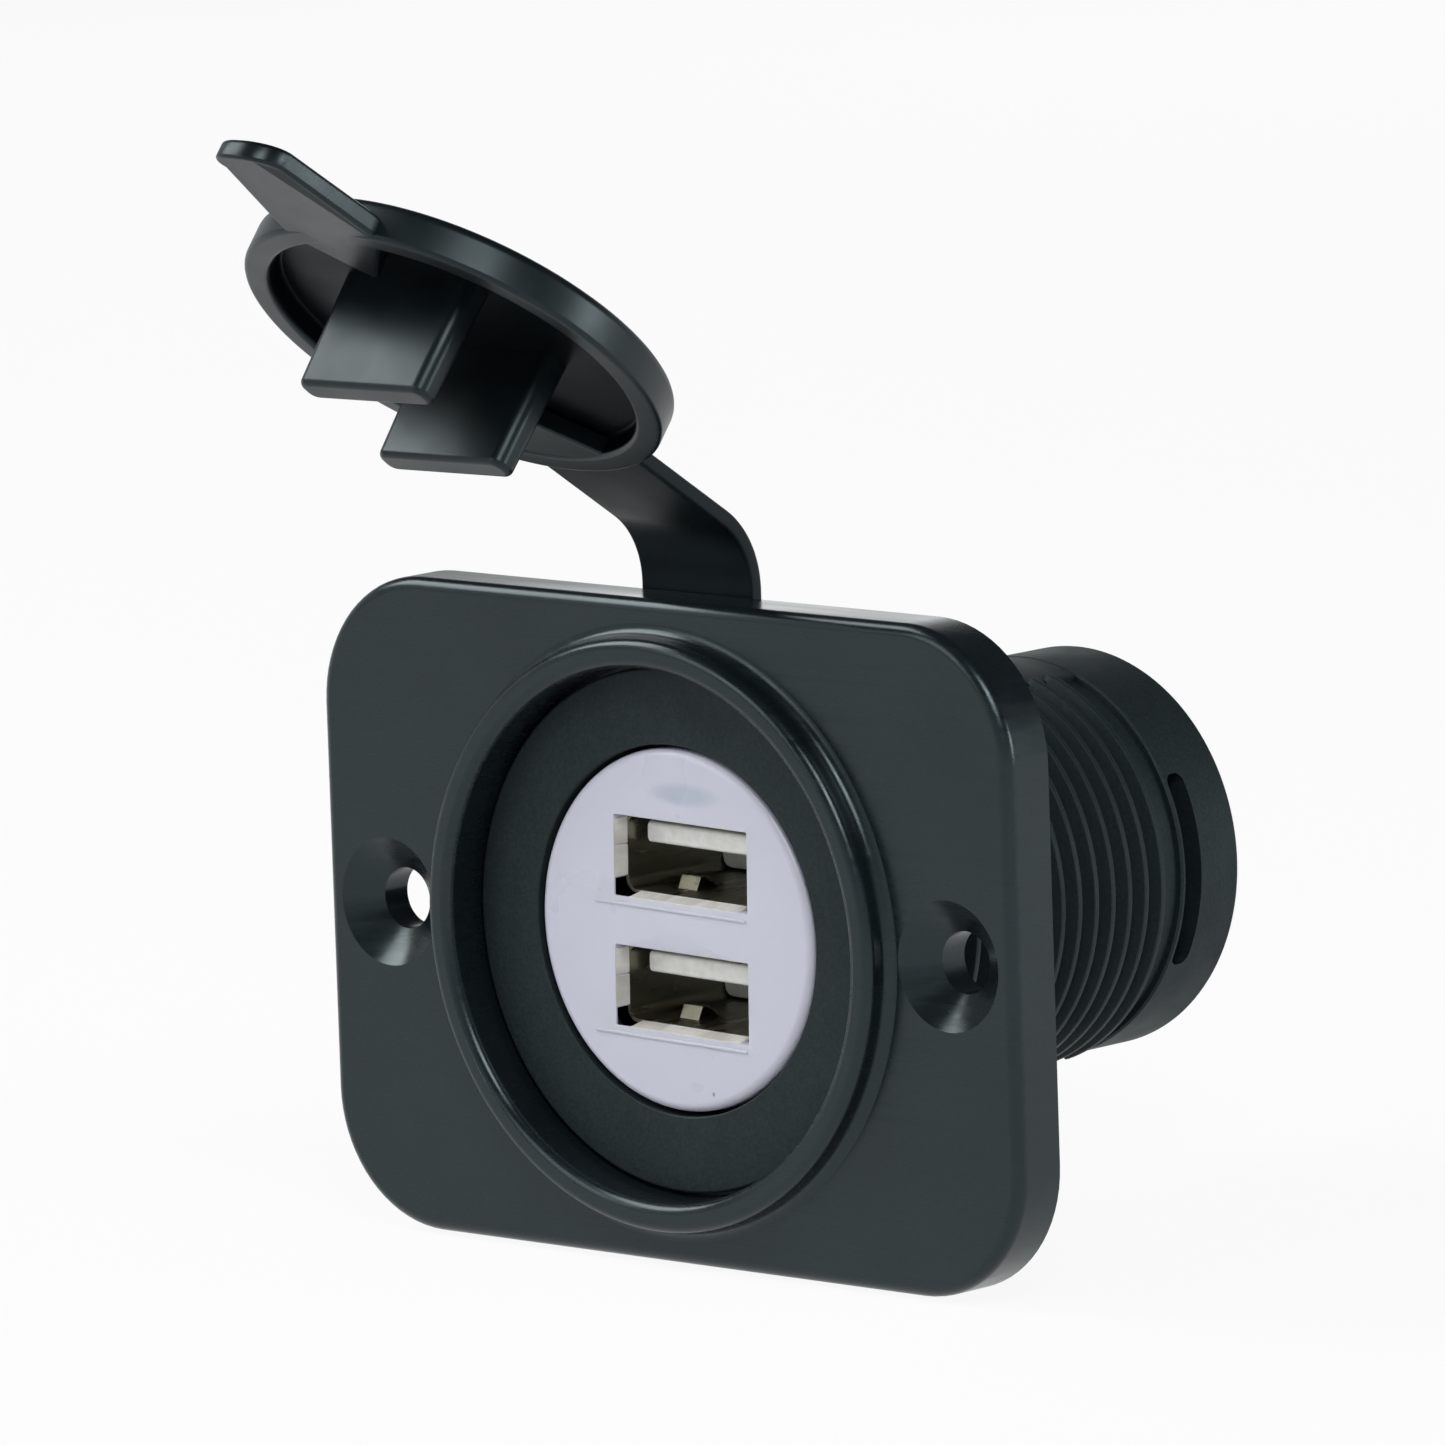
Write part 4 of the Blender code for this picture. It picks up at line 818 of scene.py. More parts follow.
class SOCKET_OT_plate(Operator):
    """Builds the mounting plate with its raised ring and countersunk holes"""
    bl_idname = "socket.plate"
    bl_label = "Mounting Plate"

    def execute(self, context):
        sizes = context.scene.socket_plate
        width = PLATE_HIGH.x - PLATE_LOW.x
        height = PLATE_HIGH.z - PLATE_LOW.z
        front = -sizes.thickness
        outline = rounded_rectangle(width, height, sizes.corner_radius, 18)
        plate = plate_of("plate", [outline], sizes.thickness, facing_front(front / 2))

        def front_rim(edge):
            at_front = all(abs(vertex.co.y - front) < LEVEL for vertex in edge.verts)
            return at_front and edge.calc_face_angle(0.0) > CREASE

        round_edges(plate, front_rim, sizes.edge_round, 6)
        plate = combine(plate, self.ring(sizes, front), "UNION")
        plate = combine(plate, self.bore(sizes), "DIFFERENCE")
        for side in (-1, 1):
            plate = combine(plate, self.screw_hole(sizes, side, front), "DIFFERENCE")
        dressed(plate, "plate_black", "socket", "plate_black", "mounting_plate")
        return {"FINISHED"}

    def ring(self, sizes, front):
        """The raised ring, with a concave rounding at its foot."""
        crest = PLATE_LOW.y
        outer = sizes.bore + sizes.wall
        foot = outer + sizes.foot
        buried = front + sizes.thickness / 4
        foot_front = front - 0.02 * MM
        edge = sizes.outer_round
        profile = [(0.0, buried), (foot, buried)]
        profile += arc((foot, foot_front - sizes.foot), sizes.foot, 90, 180, 7)
        profile += arc((outer - edge, crest + edge), edge, 0, -90, 7)
        profile += [(0.0, crest)]
        return lathe("ring", profile, along_barrel(), closed=False)

    def bore(self, sizes):
        """The cutting tool for the ring's bore and the hole in the web behind it."""
        crest = PLATE_LOW.y
        above = crest - CLEAR
        edge = sizes.inner_round
        mouth = sizes.bore + edge + 0.6 * MM
        profile = [(0.0, CLEAR), (sizes.web_hole, CLEAR), (sizes.web_hole, -sizes.web)]
        profile += [(sizes.bore, -sizes.web)]
        profile += arc((sizes.bore + edge, crest + edge), edge, 180, 262, 8)
        profile += [(mouth, above), (0.0, above)]
        return lathe("bore", profile, along_barrel(), closed=False)

    def screw_hole(self, sizes, side, front):
        """The cutting tool for one countersunk hole."""
        slope = (sizes.screw_head - sizes.screw_hole) / sizes.screw_depth
        lead = 0.1 * MM
        head = sizes.screw_head + slope * lead
        above = PLATE_LOW.y - CLEAR
        profile = [
            (0.0, CLEAR), (sizes.screw_hole, CLEAR), (sizes.screw_hole, front + sizes.screw_depth),
            (head, front - lead), (head, above), (0.0, above),
        ]
        place = Matrix.Translation((side * sizes.screw_spacing / 2, 0, 0)) @ along_barrel()
        return lathe("screw_hole", profile, place, steps=72, closed=False)


# Barrel

class SOCKET_OT_barrel(Operator):
    """Builds the flange, the barrel, its plain strips and its real helical thread"""
    bl_idname = "socket.barrel"
    bl_label = "Threaded Barrel"

    def execute(self, context):
        sizes = context.scene.socket_barrel
        ports = context.scene.socket_ports
        plate = context.scene.socket_plate
        body = self.core(sizes, ports, plate)
        for side in (-1, 1):
            body = combine(body, self.window(sizes, side), "DIFFERENCE")
        dressed(body, "body_black", "socket", "body_black", "socket_body")
        for place, middle in (("top", -90.0), ("bottom", 90.0)):
            strip = self.strip(sizes, "strip_" + place, middle)
            dressed(strip, "body_black", "socket", "body_black")
        dressed(self.thread(sizes), "body_black", "socket", "body_black")
        return {"FINISHED"}

    def core(self, sizes, ports, plate):
        """Flange, neck, thread root and collar in one turned shape, with the insert's pocket."""
        front = BODY_LOW.y
        end = BODY_HIGH.y
        radius = plate.bore - sizes.flange_gap
        back = -plate.web - sizes.flange_gap
        pocket = ports.bezel_radius + sizes.flange_gap
        shoulder = front + INSERT_HIGH.y - INSERT_LOW.y + sizes.flange_gap
        edge = 0.25 * MM
        small = 0.1 * MM
        step = 0.15 * MM
        rounding = sizes.collar_round
        profile = [(pocket, shoulder), (pocket, front + small), (pocket + small, front)]
        profile += arc((radius - edge, front + edge), edge, -90, 0, 4)
        profile += [
            (radius, back), (sizes.neck, back), (sizes.neck, sizes.neck_end),
            (sizes.root, sizes.neck_end), (sizes.root, sizes.collar_start),
            (sizes.collar - step, sizes.collar_start), (sizes.collar, sizes.collar_start + step),
        ]
        profile += arc((sizes.collar - rounding, end - rounding), rounding, 0, 90, 5)
        profile += [(sizes.bore + small, end), (sizes.bore, end - small), (sizes.bore, shoulder)]
        return lathe("barrel", profile, along_barrel())

    def window(self, sizes, side):
        """The cutting tool for one hook window."""
        reach = sorted((side * (sizes.bore - 4 * CLEAR), side * (sizes.collar + 2 * CLEAR)))
        half = sizes.window_length / 2
        corner = sizes.window_width * 0.4
        back = sizes.window_start + sizes.window_width
        window = block("window", (reach[0], sizes.window_start, -half), (reach[1], back, half))

        def through_wall(edge):
            return abs(edge.verts[0].co.x - edge.verts[1].co.x) > CLEAR

        return round_edges(window, through_wall, corner, 4)

    def strip(self, sizes, name, middle):
        """A plain strip along the barrel, about an angle in degrees."""
        half = math.degrees(math.asin(sizes.strip_width / 2 / sizes.strip))
        overlap = 0.3 * MM
        sunk = sizes.root - overlap
        start = sizes.neck_end - overlap
        end = sizes.collar_start + overlap
        profile = [(sunk, start), (sizes.strip, start), (sizes.strip, end), (sunk, end)]
        strip = lathe(name, profile, along_barrel(), 18, middle - half, middle + half)
        return soften(strip, width=0.12 * MM)

    def thread(self, sizes):
        """A ridge over half a turn, repeated up the barrel by geometry nodes."""
        overlap = 0.1 * MM
        holder = shown("thread", bpy.data.meshes.new("thread"))
        step = holder.modifiers.new("ridges", "NODES")
        step.node_group = ridge_tree()
        values = {
            "Pitch": sizes.pitch, "Half Turns": sizes.turns, "Crest Radius": sizes.crest,
            "Root Radius": sizes.root, "Crest Width": sizes.crest_width,
            "Gap Angle": math.asin((sizes.strip_width / 2 - overlap) / sizes.crest),
            "Start": sizes.first_ridge, "Finish": finish_named("body_black"),
        }
        for item in step.node_group.interface.items_tree:
            if item.item_type == "SOCKET" and item.in_out == "INPUT":
                step[item.identifier] = values[item.name]
        made = applied(holder)
        made.data.transform(along_barrel())
        return soften(made, width=0.07 * MM, sharp=30.0)


class Tree:
    """Short calls for building a geometry node tree."""

    def __init__(self, name):
        self.group = bpy.data.node_groups.new(name, "GeometryNodeTree")
        self.inlet = self.group.nodes.new("NodeGroupInput")
        self.outlet = self.group.nodes.new("NodeGroupOutput")
        self.group.interface.new_socket("Geometry", in_out="OUTPUT", socket_type="NodeSocketGeometry")

    def entry(self, name, kind):
        self.group.interface.new_socket(name, in_out="INPUT", socket_type=kind)
        return self.inlet.outputs[name]

    def node(self, kind, inputs=(), **settings):
        """The first output of a new node."""
        return add_node(self.group, kind, inputs, **settings).outputs[0]

    def maths(self, operation, first, second=0.0):
        return self.node("ShaderNodeMath", {0: first, 1: second}, operation=operation)

    def upwards(self, height):
        """A vector along Z."""
        return self.node("ShaderNodeCombineXYZ", {"Z": height})


def ridge_tree():
    """Half a turn of a ridge with a flat crest, repeated at every half pitch."""
    tree = Tree("thread_ridges")
    pitch = tree.entry("Pitch", "NodeSocketFloat")
    turns = tree.entry("Half Turns", "NodeSocketInt")
    crest = tree.entry("Crest Radius", "NodeSocketFloat")
    root = tree.entry("Root Radius", "NodeSocketFloat")
    flat = tree.entry("Crest Width", "NodeSocketFloat")
    gap = tree.entry("Gap Angle", "NodeSocketFloat")
    start = tree.entry("Start", "NodeSocketFloat")
    finish = tree.entry("Finish", "NodeSocketMaterial")
    points = 57
    sunk = 0.2 * MM
    flank = 0.45

    # The middle line of one ridge, which climbs as it goes round
    line = tree.node("GeometryNodeMeshLine", {"Count": points})
    share = tree.maths("DIVIDE", tree.node("GeometryNodeInputIndex"), points - 1.0)
    first = tree.maths("SUBTRACT", gap, math.pi / 2)
    span = tree.maths("SUBTRACT", math.pi, tree.maths("MULTIPLY", gap, 2.0))
    angle = tree.maths("ADD", first, tree.maths("MULTIPLY", share, span))
    base = tree.maths("SUBTRACT", root, sunk)
    middle = tree.maths("MULTIPLY", tree.maths("ADD", crest, base), 0.5)
    place = tree.node("ShaderNodeCombineXYZ", {
        "X": tree.maths("MULTIPLY", middle, tree.maths("COSINE", angle)),
        "Y": tree.maths("MULTIPLY", middle, tree.maths("SINE", angle)),
        "Z": tree.maths("MULTIPLY", pitch, tree.maths("DIVIDE", angle, math.tau)),
    })
    bent = tree.node("GeometryNodeSetPosition", {"Geometry": line, "Position": place})
    route = tree.node("GeometryNodeMeshToCurve", {"Mesh": bent})
    upright = tree.node("GeometryNodeSetCurveNormal", {"Curve": route}, mode="Z_UP")

    # The ridge's section, with sloping flanks
    height = tree.maths("SUBTRACT", crest, base)
    foot = tree.maths("ADD", flat, tree.maths("MULTIPLY", height, 2 * flank))
    ridge = tree.node("GeometryNodeCurvePrimitiveQuadrilateral", {
        "Bottom Width": foot, "Top Width": flat, "Height": height, "Offset": 0.0,
    }, mode="TRAPEZOID")
    outwards = tree.node("GeometryNodeTransform", {"Geometry": ridge, "Rotation": (0, 0, -math.pi / 2)})
    swept = tree.node("GeometryNodeCurveToMesh", {
        "Curve": upright, "Profile Curve": outwards, "Fill Caps": True,
    })

    # Copies of the ridge, each half a turn and half a pitch on
    places = tree.node("GeometryNodeMeshLine", {
        "Count": turns, "Start Location": tree.upwards(start),
        "Offset": tree.upwards(tree.maths("MULTIPLY", pitch, 0.5)),
    })
    half_turn = tree.upwards(tree.maths("MULTIPLY", tree.node("GeometryNodeInputIndex"), math.pi))
    copies = tree.node("GeometryNodeInstanceOnPoints", {
        "Points": places, "Instance": swept, "Rotation": half_turn,
    })
    real = tree.node("GeometryNodeRealizeInstances", {"Geometry": copies})
    coated = tree.node("GeometryNodeSetMaterial", {"Geometry": real, "Material": finish})
    tree.group.links.new(coated, tree.outlet.inputs[0])
    return tree.group


# Ports

PORT_NAMES = ("upper", "lower")


def port_heights(sizes):
    """How high the ports' middles stand over the axis, in the order of their names."""
    return (sizes.pitch / 2, -sizes.pitch / 2)


def turned_place(sizes, across, up):
    """Where a point on the insert comes to lie after its turn and shift."""
    cosine = math.cos(sizes.turn)
    sine = math.sin(sizes.turn)
    return (across * cosine + up * sine + sizes.shift_right, up * cosine - across * sine + sizes.shift_up)


def turned(made, sizes):
    """The insert sits in the plate with a slight turn and shift."""
    shift = Matrix.Translation((sizes.shift_right, 0.0, sizes.shift_up))
    made.data.transform(shift @ Matrix.Rotation(sizes.turn, 4, "Y"))
    return made


class SOCKET_OT_insert(Operator):
    """Builds the milky white insert with its two windows"""
    bl_idname = "socket.insert"
    bl_label = "Port Insert"

    def execute(self, context):
        sizes = context.scene.socket_ports
        front = INSERT_LOW.y
        back = INSERT_HIGH.y
        face_back = front + sizes.bezel_face
        edge = sizes.bezel_round
        corner = 0.12 * MM
        inner = sizes.bezel_radius - sizes.bezel_wall
        profile = [(inner, face_back), (inner, back), (sizes.bezel_radius, back)]
        profile += arc((sizes.bezel_radius - edge, front + edge), edge, 0, -90, 6)
        profile += [(0.0, front), (0.0, face_back)]
        insert = lathe("insert", profile, along_barrel())
        for height in port_heights(sizes):
            middle = (sizes.offset, height)
            opening = rounded_rectangle(sizes.window_width, sizes.window_height, corner, 2, middle)
            window = plate_of("window", [opening], 4 * CLEAR, facing_front(front))
            insert = combine(insert, turned(window, sizes), "DIFFERENCE")
            insert = combine(insert, self.notch(sizes, front, height), "DIFFERENCE")
        insert = soften(insert, width=0.07 * MM)
        dressed(insert, "insert_white", "socket", "bezel_white", "port_bezel")
        self.witness_lines(sizes, front)
        return {"FINISHED"}

    def notch(self, sizes, front, height):
        """Clearance behind the face at a window's lower left corner, beside the shell's round corner."""
        left = sizes.offset - sizes.window_width / 2
        bottom = height - sizes.window_height / 2
        skin = 0.15 * MM
        aside = 1.5 * MM
        below = 0.4 * MM
        inside = 1.2 * MM
        depth = 3.0 * MM
        low = (left - aside, front + skin, bottom - below)
        high = (left + inside, front + depth, bottom + inside)
        return turned(block("notch", low, high), sizes)

    def witness_lines(self, sizes, front):
        """The fine raised line under each window."""
        line_length = 14.3 * MM
        line_width = 0.2 * MM
        end = 0.09 * MM
        leftwards = 1.0 * MM
        for name, height in zip(PORT_NAMES, port_heights(sizes)):
            middle = (sizes.offset - leftwards, height - sizes.line_drop)
            outline = rounded_rectangle(line_length, line_width, end, 3, middle)
            line = plate_of("insert_line_" + name, [outline], line_width, facing_front(front))
            line = turned(soften(line, width=0.03 * MM, segments=1), sizes)
            dressed(line, "insert_white", "socket", "bezel_white")


class SOCKET_OT_ports(Operator):
    """Builds the plated shells and dresses the tongues and contacts"""
    bl_idname = "socket.ports"
    bl_label = "USB Ports"

    def execute(self, context):
        sizes = context.scene.socket_ports
        for which, height in zip(PORT_NAMES, port_heights(sizes)):
            self.shell(sizes, which, height)
            self.lips(sizes, which, height)
            for name, side in (("left", -1), ("right", 1)):
                self.spring(sizes, "leaf_" + which + "_" + name, side, height)
            node = "usb_tongue_" + which
            tongue = copy_of(node, "tongue_" + which, softening=0.08 * MM)
            self.set_back(tongue, sizes, sizes.tongue_back)
            dressed(tongue, "tongue_white", "socket", "tongue_white", node)
            for number in range(1, 5):
                ending = which + "_" + str(number)
                contact = copy_of("contact_" + ending, "spring_" + ending, softening=0.05 * MM)
                self.set_back(contact, sizes, sizes.tongue_back + sizes.contact_back)
                dressed(contact, "contact_gold", "socket", "contact_gold", "contact_" + ending)
        return {"FINISHED"}

    def set_back(self, made, sizes, distance):
        """Moves the front end of a piece further into its shell."""
        front = min(vertex.co.y for vertex in made.data.vertices)
        end_depth = 1 * MM
        for vertex in made.data.vertices:
            if vertex.co.y < front + end_depth:
                vertex.co.y += distance
        turned(made, sizes)

    def shell(self, sizes, which, height):
        """The tube of a shell, which starts behind its lips."""
        front = INSERT_LOW.y + sizes.set_back + sizes.lip_depth
        overlap = 0.1 * MM
        back = INSERT_LOW.y + sizes.shell_length + overlap
        middle = (sizes.offset, height)
        walls = 2 * sizes.wall
        outer = rounded_rectangle(sizes.width + walls, sizes.height + walls, sizes.corner, 8, middle)
        inner = rounded_rectangle(sizes.width, sizes.height, sizes.corner - sizes.wall, 8, middle)
        shell = plate_of("shell_" + which, [outer, inner], back - front, facing_front((front + back) / 2))
        shell = turned(soften(shell, width=0.06 * MM), sizes)
        # The tube takes the nickel's painted shade
        dressed(shell, "nickel_shade", "socket", "nickel", "usb_shell_" + which)

    def lips(self, sizes, which, height):
        """The flared lips of a shell, which leave its corners open."""
        # All lips take the nickel's painted light
        half_width = sizes.width / 2
        half_height = sizes.height / 2
        top = half_height - 0.05 * MM
        bottom = -1.62 * MM
        split = (0.58 * MM, 0.66 * MM)
        rows = [
            ("left_high", -1, split[1], top), ("left_low", -1, bottom, split[0]),
            ("right", 1, bottom, top),
        ]
        for name, side, low, high in rows:
            outline = self.lip_outline(sizes, sizes.offset + side * half_width, side * sizes.side_flare)
            place = facing_up(height + (low + high) / 2)
            self.sheet(sizes, "lip_" + which + "_" + name, outline, high - low, place, "nickel_lip")
        shift = 0.15 * MM
        open_corner = 1.05 * MM
        width = sizes.width - 2 * open_corner
        for name, side in (("floor", -1), ("roof", 1)):
            section = self.lip_outline(sizes, height + side * half_height, side * sizes.lip_flare)
            outline = [(v, u) for u, v in section]
            place = facing_side(sizes.offset + shift)
            self.sheet(sizes, "lip_" + which + "_" + name, outline, width, place, "nickel_lip")

    def lip_outline(self, sizes, inner, flare):
        """A lip's section as (across, depth): it starts on the tube's wall and leans outwards."""
        lip_front = INSERT_LOW.y + sizes.set_back
        front = lip_front + sizes.lip_depth
        outer = inner + flare
        wall = math.copysign(sizes.wall, flare)
        return [(inner, front), (outer, lip_front), (outer + wall, lip_front), (inner + wall, front)]

    def sheet(self, sizes, name, outline, width, place, finish, sharp=40.0):
        """One bent piece of sheet metal, from its outline."""
        flat = plate_of(name, [outline], width, place)
        piece = soften(flat, width=0.05 * MM, sharp=sharp)
        dressed(turned(piece, sizes), finish, "socket", "nickel")

    def spring(self, sizes, name, side, height):
        """A leaf spring that is pressed up from the shell's floor, with a curled tip."""
        floor = height - sizes.height / 2
        sunk = floor - 0.1 * MM
        foot = 0.5 * MM
        rise = 1.0 * MM
        thickness = 0.2 * MM
        slant = thickness * 0.6
        width = 1.8 * MM
        middle = 0.65 * MM
        from_middle = 3.25 * MM
        upper = [
            (foot + 2.6 * MM, sunk), (foot + 1.2 * MM, floor + rise * 0.9),
            (foot + 0.8 * MM, floor + rise), (foot + 0.5 * MM, floor + rise * 0.94), (foot, sunk),
        ]
        lower = [(y, z - thickness) for y, z in reversed(upper)]
        lower[0] = (lower[0][0] + thickness, lower[0][1] + slant)
        lower[-1] = (lower[-1][0] - thickness, lower[-1][1] + slant)
        place = facing_side(sizes.offset + middle + side * from_middle)
        # The leaf takes the nickel's painted shade
        self.sheet(sizes, name, upper + lower, width, place, "nickel_shade", sharp=50.0)


# Rear cover, terminals and circuit

class SOCKET_OT_rear(Operator):
    """Dresses the rear cover, the blades and the circuit inside the barrel"""
    bl_idname = "socket.rear"
    bl_label = "Rear Cover and Circuit"

    def execute(self, context):
        # Node, piece, finish, slot and softening of the edges in millimetres
        rows = [
            ("rear_cap", "rear_cover", "body_black", "body_black", 0.12),
            ("terminal_positive", "blade_positive", "brass", "brass", 0.08),
            ("terminal_negative", "blade_negative", "brass", "brass", 0.08),
            ("strap_ring", "rubber_ring", "rubber", "rubber", 0.15),
            ("port_board", "board_front", "board_green", "board_green", 0.08),
            ("converter_board", "board_rear", "board_green", "board_green", 0.08),
            ("inductor_core", "inductor_drum", "ferrite", "ferrite", 0.1),
            ("inductor_winding", "inductor_wire", "copper", "copper", 0.1),
            ("input_capacitor", "capacitor_left", "can_silver", "can_silver", 0.08),
            ("output_capacitor", "capacitor_right", "can_silver", "can_silver", 0.08),
            ("controller_chip", "chip", "chip_black", "chip_black", 0.05),
            ("diode", "diode_body", "chip_black", "chip_black", 0.05),
            ("indicator_led", "lamp", "led_blue", "led_clear", 0.05),
        ]
        for node, name, finish, slot, softening in rows:
            dressed(copy_of(node, name, softening * MM), finish, "socket", slot, node)
        return {"FINISHED"}


# Cap and strap

def cap_axes(sizes):
    """Along the cap from strap to tab, the way the plugs point, and the open cap's centre."""
    along = Vector((0.0, -math.cos(sizes.tilt), math.sin(sizes.tilt)))
    press = Vector((0.0, -math.sin(sizes.tilt), -math.cos(sizes.tilt)))
    return along, press, Vector((0.0, -sizes.forward, sizes.up))


def cap_plane(sizes, depth):
    """Outline u is world X and v runs along the cap, at a depth behind its outer face."""
    along, press, centre = cap_axes(sizes)
    return axes((1, 0, 0), along, centre + press * depth)


class SOCKET_OT_cap(Operator):
    """Builds the rubber flip cap with its plugs and pull tab"""
    bl_idname = "socket.cap"
    bl_label = "Flip Cap"

    def execute(self, context):
        sizes = context.scene.socket_cap
        ports = context.scene.socket_ports
        cap = self.dish(sizes)
        cap = combine(cap, self.tab(sizes), "UNION")
        cap = combine(cap, self.root(sizes, context.scene.socket_strap), "UNION")
        for height in port_heights(ports):
            cap = combine(cap, self.plug(sizes, ports, height), "UNION")
        cap = dressed(cap, "rubber", "cap", "rubber", "flip_cap")
        self.shade_hollow(cap, sizes)
        return {"FINISHED"}

    def shade_hollow(self, cap, sizes):
        """Paints shade on the floor and wall of the hollow: they get the darker, duller copy of the
        rubber.
        """
        press, middle = cap_axes(sizes)[1:]
        cap.data.materials.append(finish_named("rubber_painted_shade"))
        inner = sizes.radius - sizes.rim
        slack = 0.05 * MM
        near_wall = inner - 0.4 * MM
        under_rim = sizes.height - 0.5 * MM
        facing = 0.9
        for polygon in cap.data.polygons:
            place = polygon.center - middle
            depth = place.dot(press)
            reach = (place - press * depth).length
            on_floor = polygon.normal.dot(press) > facing and depth < sizes.floor + slack
            on_wall = reach > near_wall and depth < under_rim
            if reach < inner + slack and depth > sizes.floor - slack and (on_floor or on_wall):
                polygon.material_index = 1

    def dish(self, sizes):
        """The round cap with its floor and rim, as (radius, depth behind the outer face)."""
        inner = sizes.radius - sizes.rim
        small = sizes.rim_round
        edge = sizes.outer_round
        fillet = 0.3 * MM
        profile = [(0.0, sizes.floor)]
        profile += arc((inner - fillet, sizes.floor + fillet), fillet, -90, 0, 3)
        profile += arc((inner + small, sizes.height - small), small, 180, 90, 4)
        profile += arc((sizes.radius - small, sizes.height - small), small, 90, 0, 4)
        profile += arc((sizes.radius - edge, edge), edge, 0, -90, 6)
        profile += [(0.0, 0.0)]
        return lathe("cap", profile, cap_plane(sizes, 0.0), closed=False)

    def tab(self, sizes):
        """The pull tab, with a wedge that reaches into the hollow and a tip that bends over."""
        half = sizes.tab_width / 2
        tip = sizes.tab_tip / 2
        inner = sizes.radius - sizes.rim
        shoulder = inner + 0.5 * MM
        below_rim = 0.1 * MM
        end = sizes.radius + sizes.tab_reach
        centre = (tip - sizes.tab_corner, end - sizes.tab_corner)
        outline = [(0.0, inner - sizes.wedge), (half, shoulder), (half, sizes.radius)]
        outline += arc(centre, sizes.tab_corner, 0, 90, 10)
        outline += arc((-centre[0], centre[1]), sizes.tab_corner, 90, 180, 10)
        outline += [(-half, sizes.radius), (-half, shoulder)]
        depth = sizes.height - below_rim - sizes.tab_thickness / 2
        tab = plate_of("tab", [outline], sizes.tab_thickness, cap_plane(sizes, depth))
        tab = soften(tab, width=0.32 * MM, segments=4)
        along, press, middle = cap_axes(sizes)
        for vertex in tab.data.vertices:
            beyond = (vertex.co - middle).dot(along) - sizes.radius - sizes.tab_straight
            share = max(beyond, 0.0) / (sizes.tab_reach - sizes.tab_straight)
            vertex.co += press * sizes.tab_drop * share ** 2
        return tab

    def root(self, sizes, strap):
        """The wedge inside the hollow where the strap joins the cap."""
        half = strap.width / 2
        inner = sizes.radius - sizes.rim
        shoulder = -inner - 0.5 * MM
        below_rim = 0.15 * MM
        outline = [(-half, shoulder), (half, shoulder), (0.0, -inner + sizes.wedge)]
        depth = sizes.height - sizes.tab_thickness / 2 - below_rim
        root = plate_of("root", [outline], sizes.tab_thickness, cap_plane(sizes, depth))
        return soften(root, width=0.25 * MM, segments=3)

    def plug(self, sizes, ports, height):
        """A plug that lies over its port's floor when the cap is closed, and turns with the ports."""
        port_floor = height - ports.port_height / 2
        plug_height = port_floor + sizes.plug_clearance + sizes.plug_thickness / 2
        across, up = turned_place(ports, ports.offset, plug_height)
        along, press, centre = cap_axes(sizes)
        level = Vector((math.cos(ports.turn), 0, 0)) + along * math.sin(ports.turn)
        tip = sizes.floor + sizes.plug_length
        sunk = sizes.floor - 0.3 * MM
        body = bmesh.new()
        bmesh.ops.create_cube(body, size=1.0)
        for vertex in body.verts:
            at_tip = vertex.co.z > 0
            spread = 0.0 if at_tip else sizes.plug_taper
            vertex.co = Vector((
                math.copysign(sizes.plug_width / 2 + spread, vertex.co.x),
                math.copysign(sizes.plug_thickness / 2 + spread / 2, vertex.co.y),
                tip if at_tip else sunk,
            ))
        sides = [edge for edge in body.edges if abs(edge.verts[0].co.z - edge.verts[1].co.z) > CLEAR]
        bmesh.ops.bevel(
            body, geom=sides, offset=sizes.plug_corner, segments=8, profile=0.5, affect="EDGES",
        )
        rim = [
            edge for edge in body.edges if all(abs(vertex.co.z - tip) < LEVEL for vertex in edge.verts)
        ]
        bmesh.ops.bevel(body, geom=rim, offset=sizes.plug_end, segments=5, profile=0.5, affect="EDGES")
        place = Matrix((level, press.cross(level), press)).transposed().to_4x4()
        place.translation = centre + Vector((across, 0, 0)) + along * (sizes.rise - up)
        bmesh.ops.transform(body, matrix=place, verts=body.verts)
        return from_bmesh("plug", body)


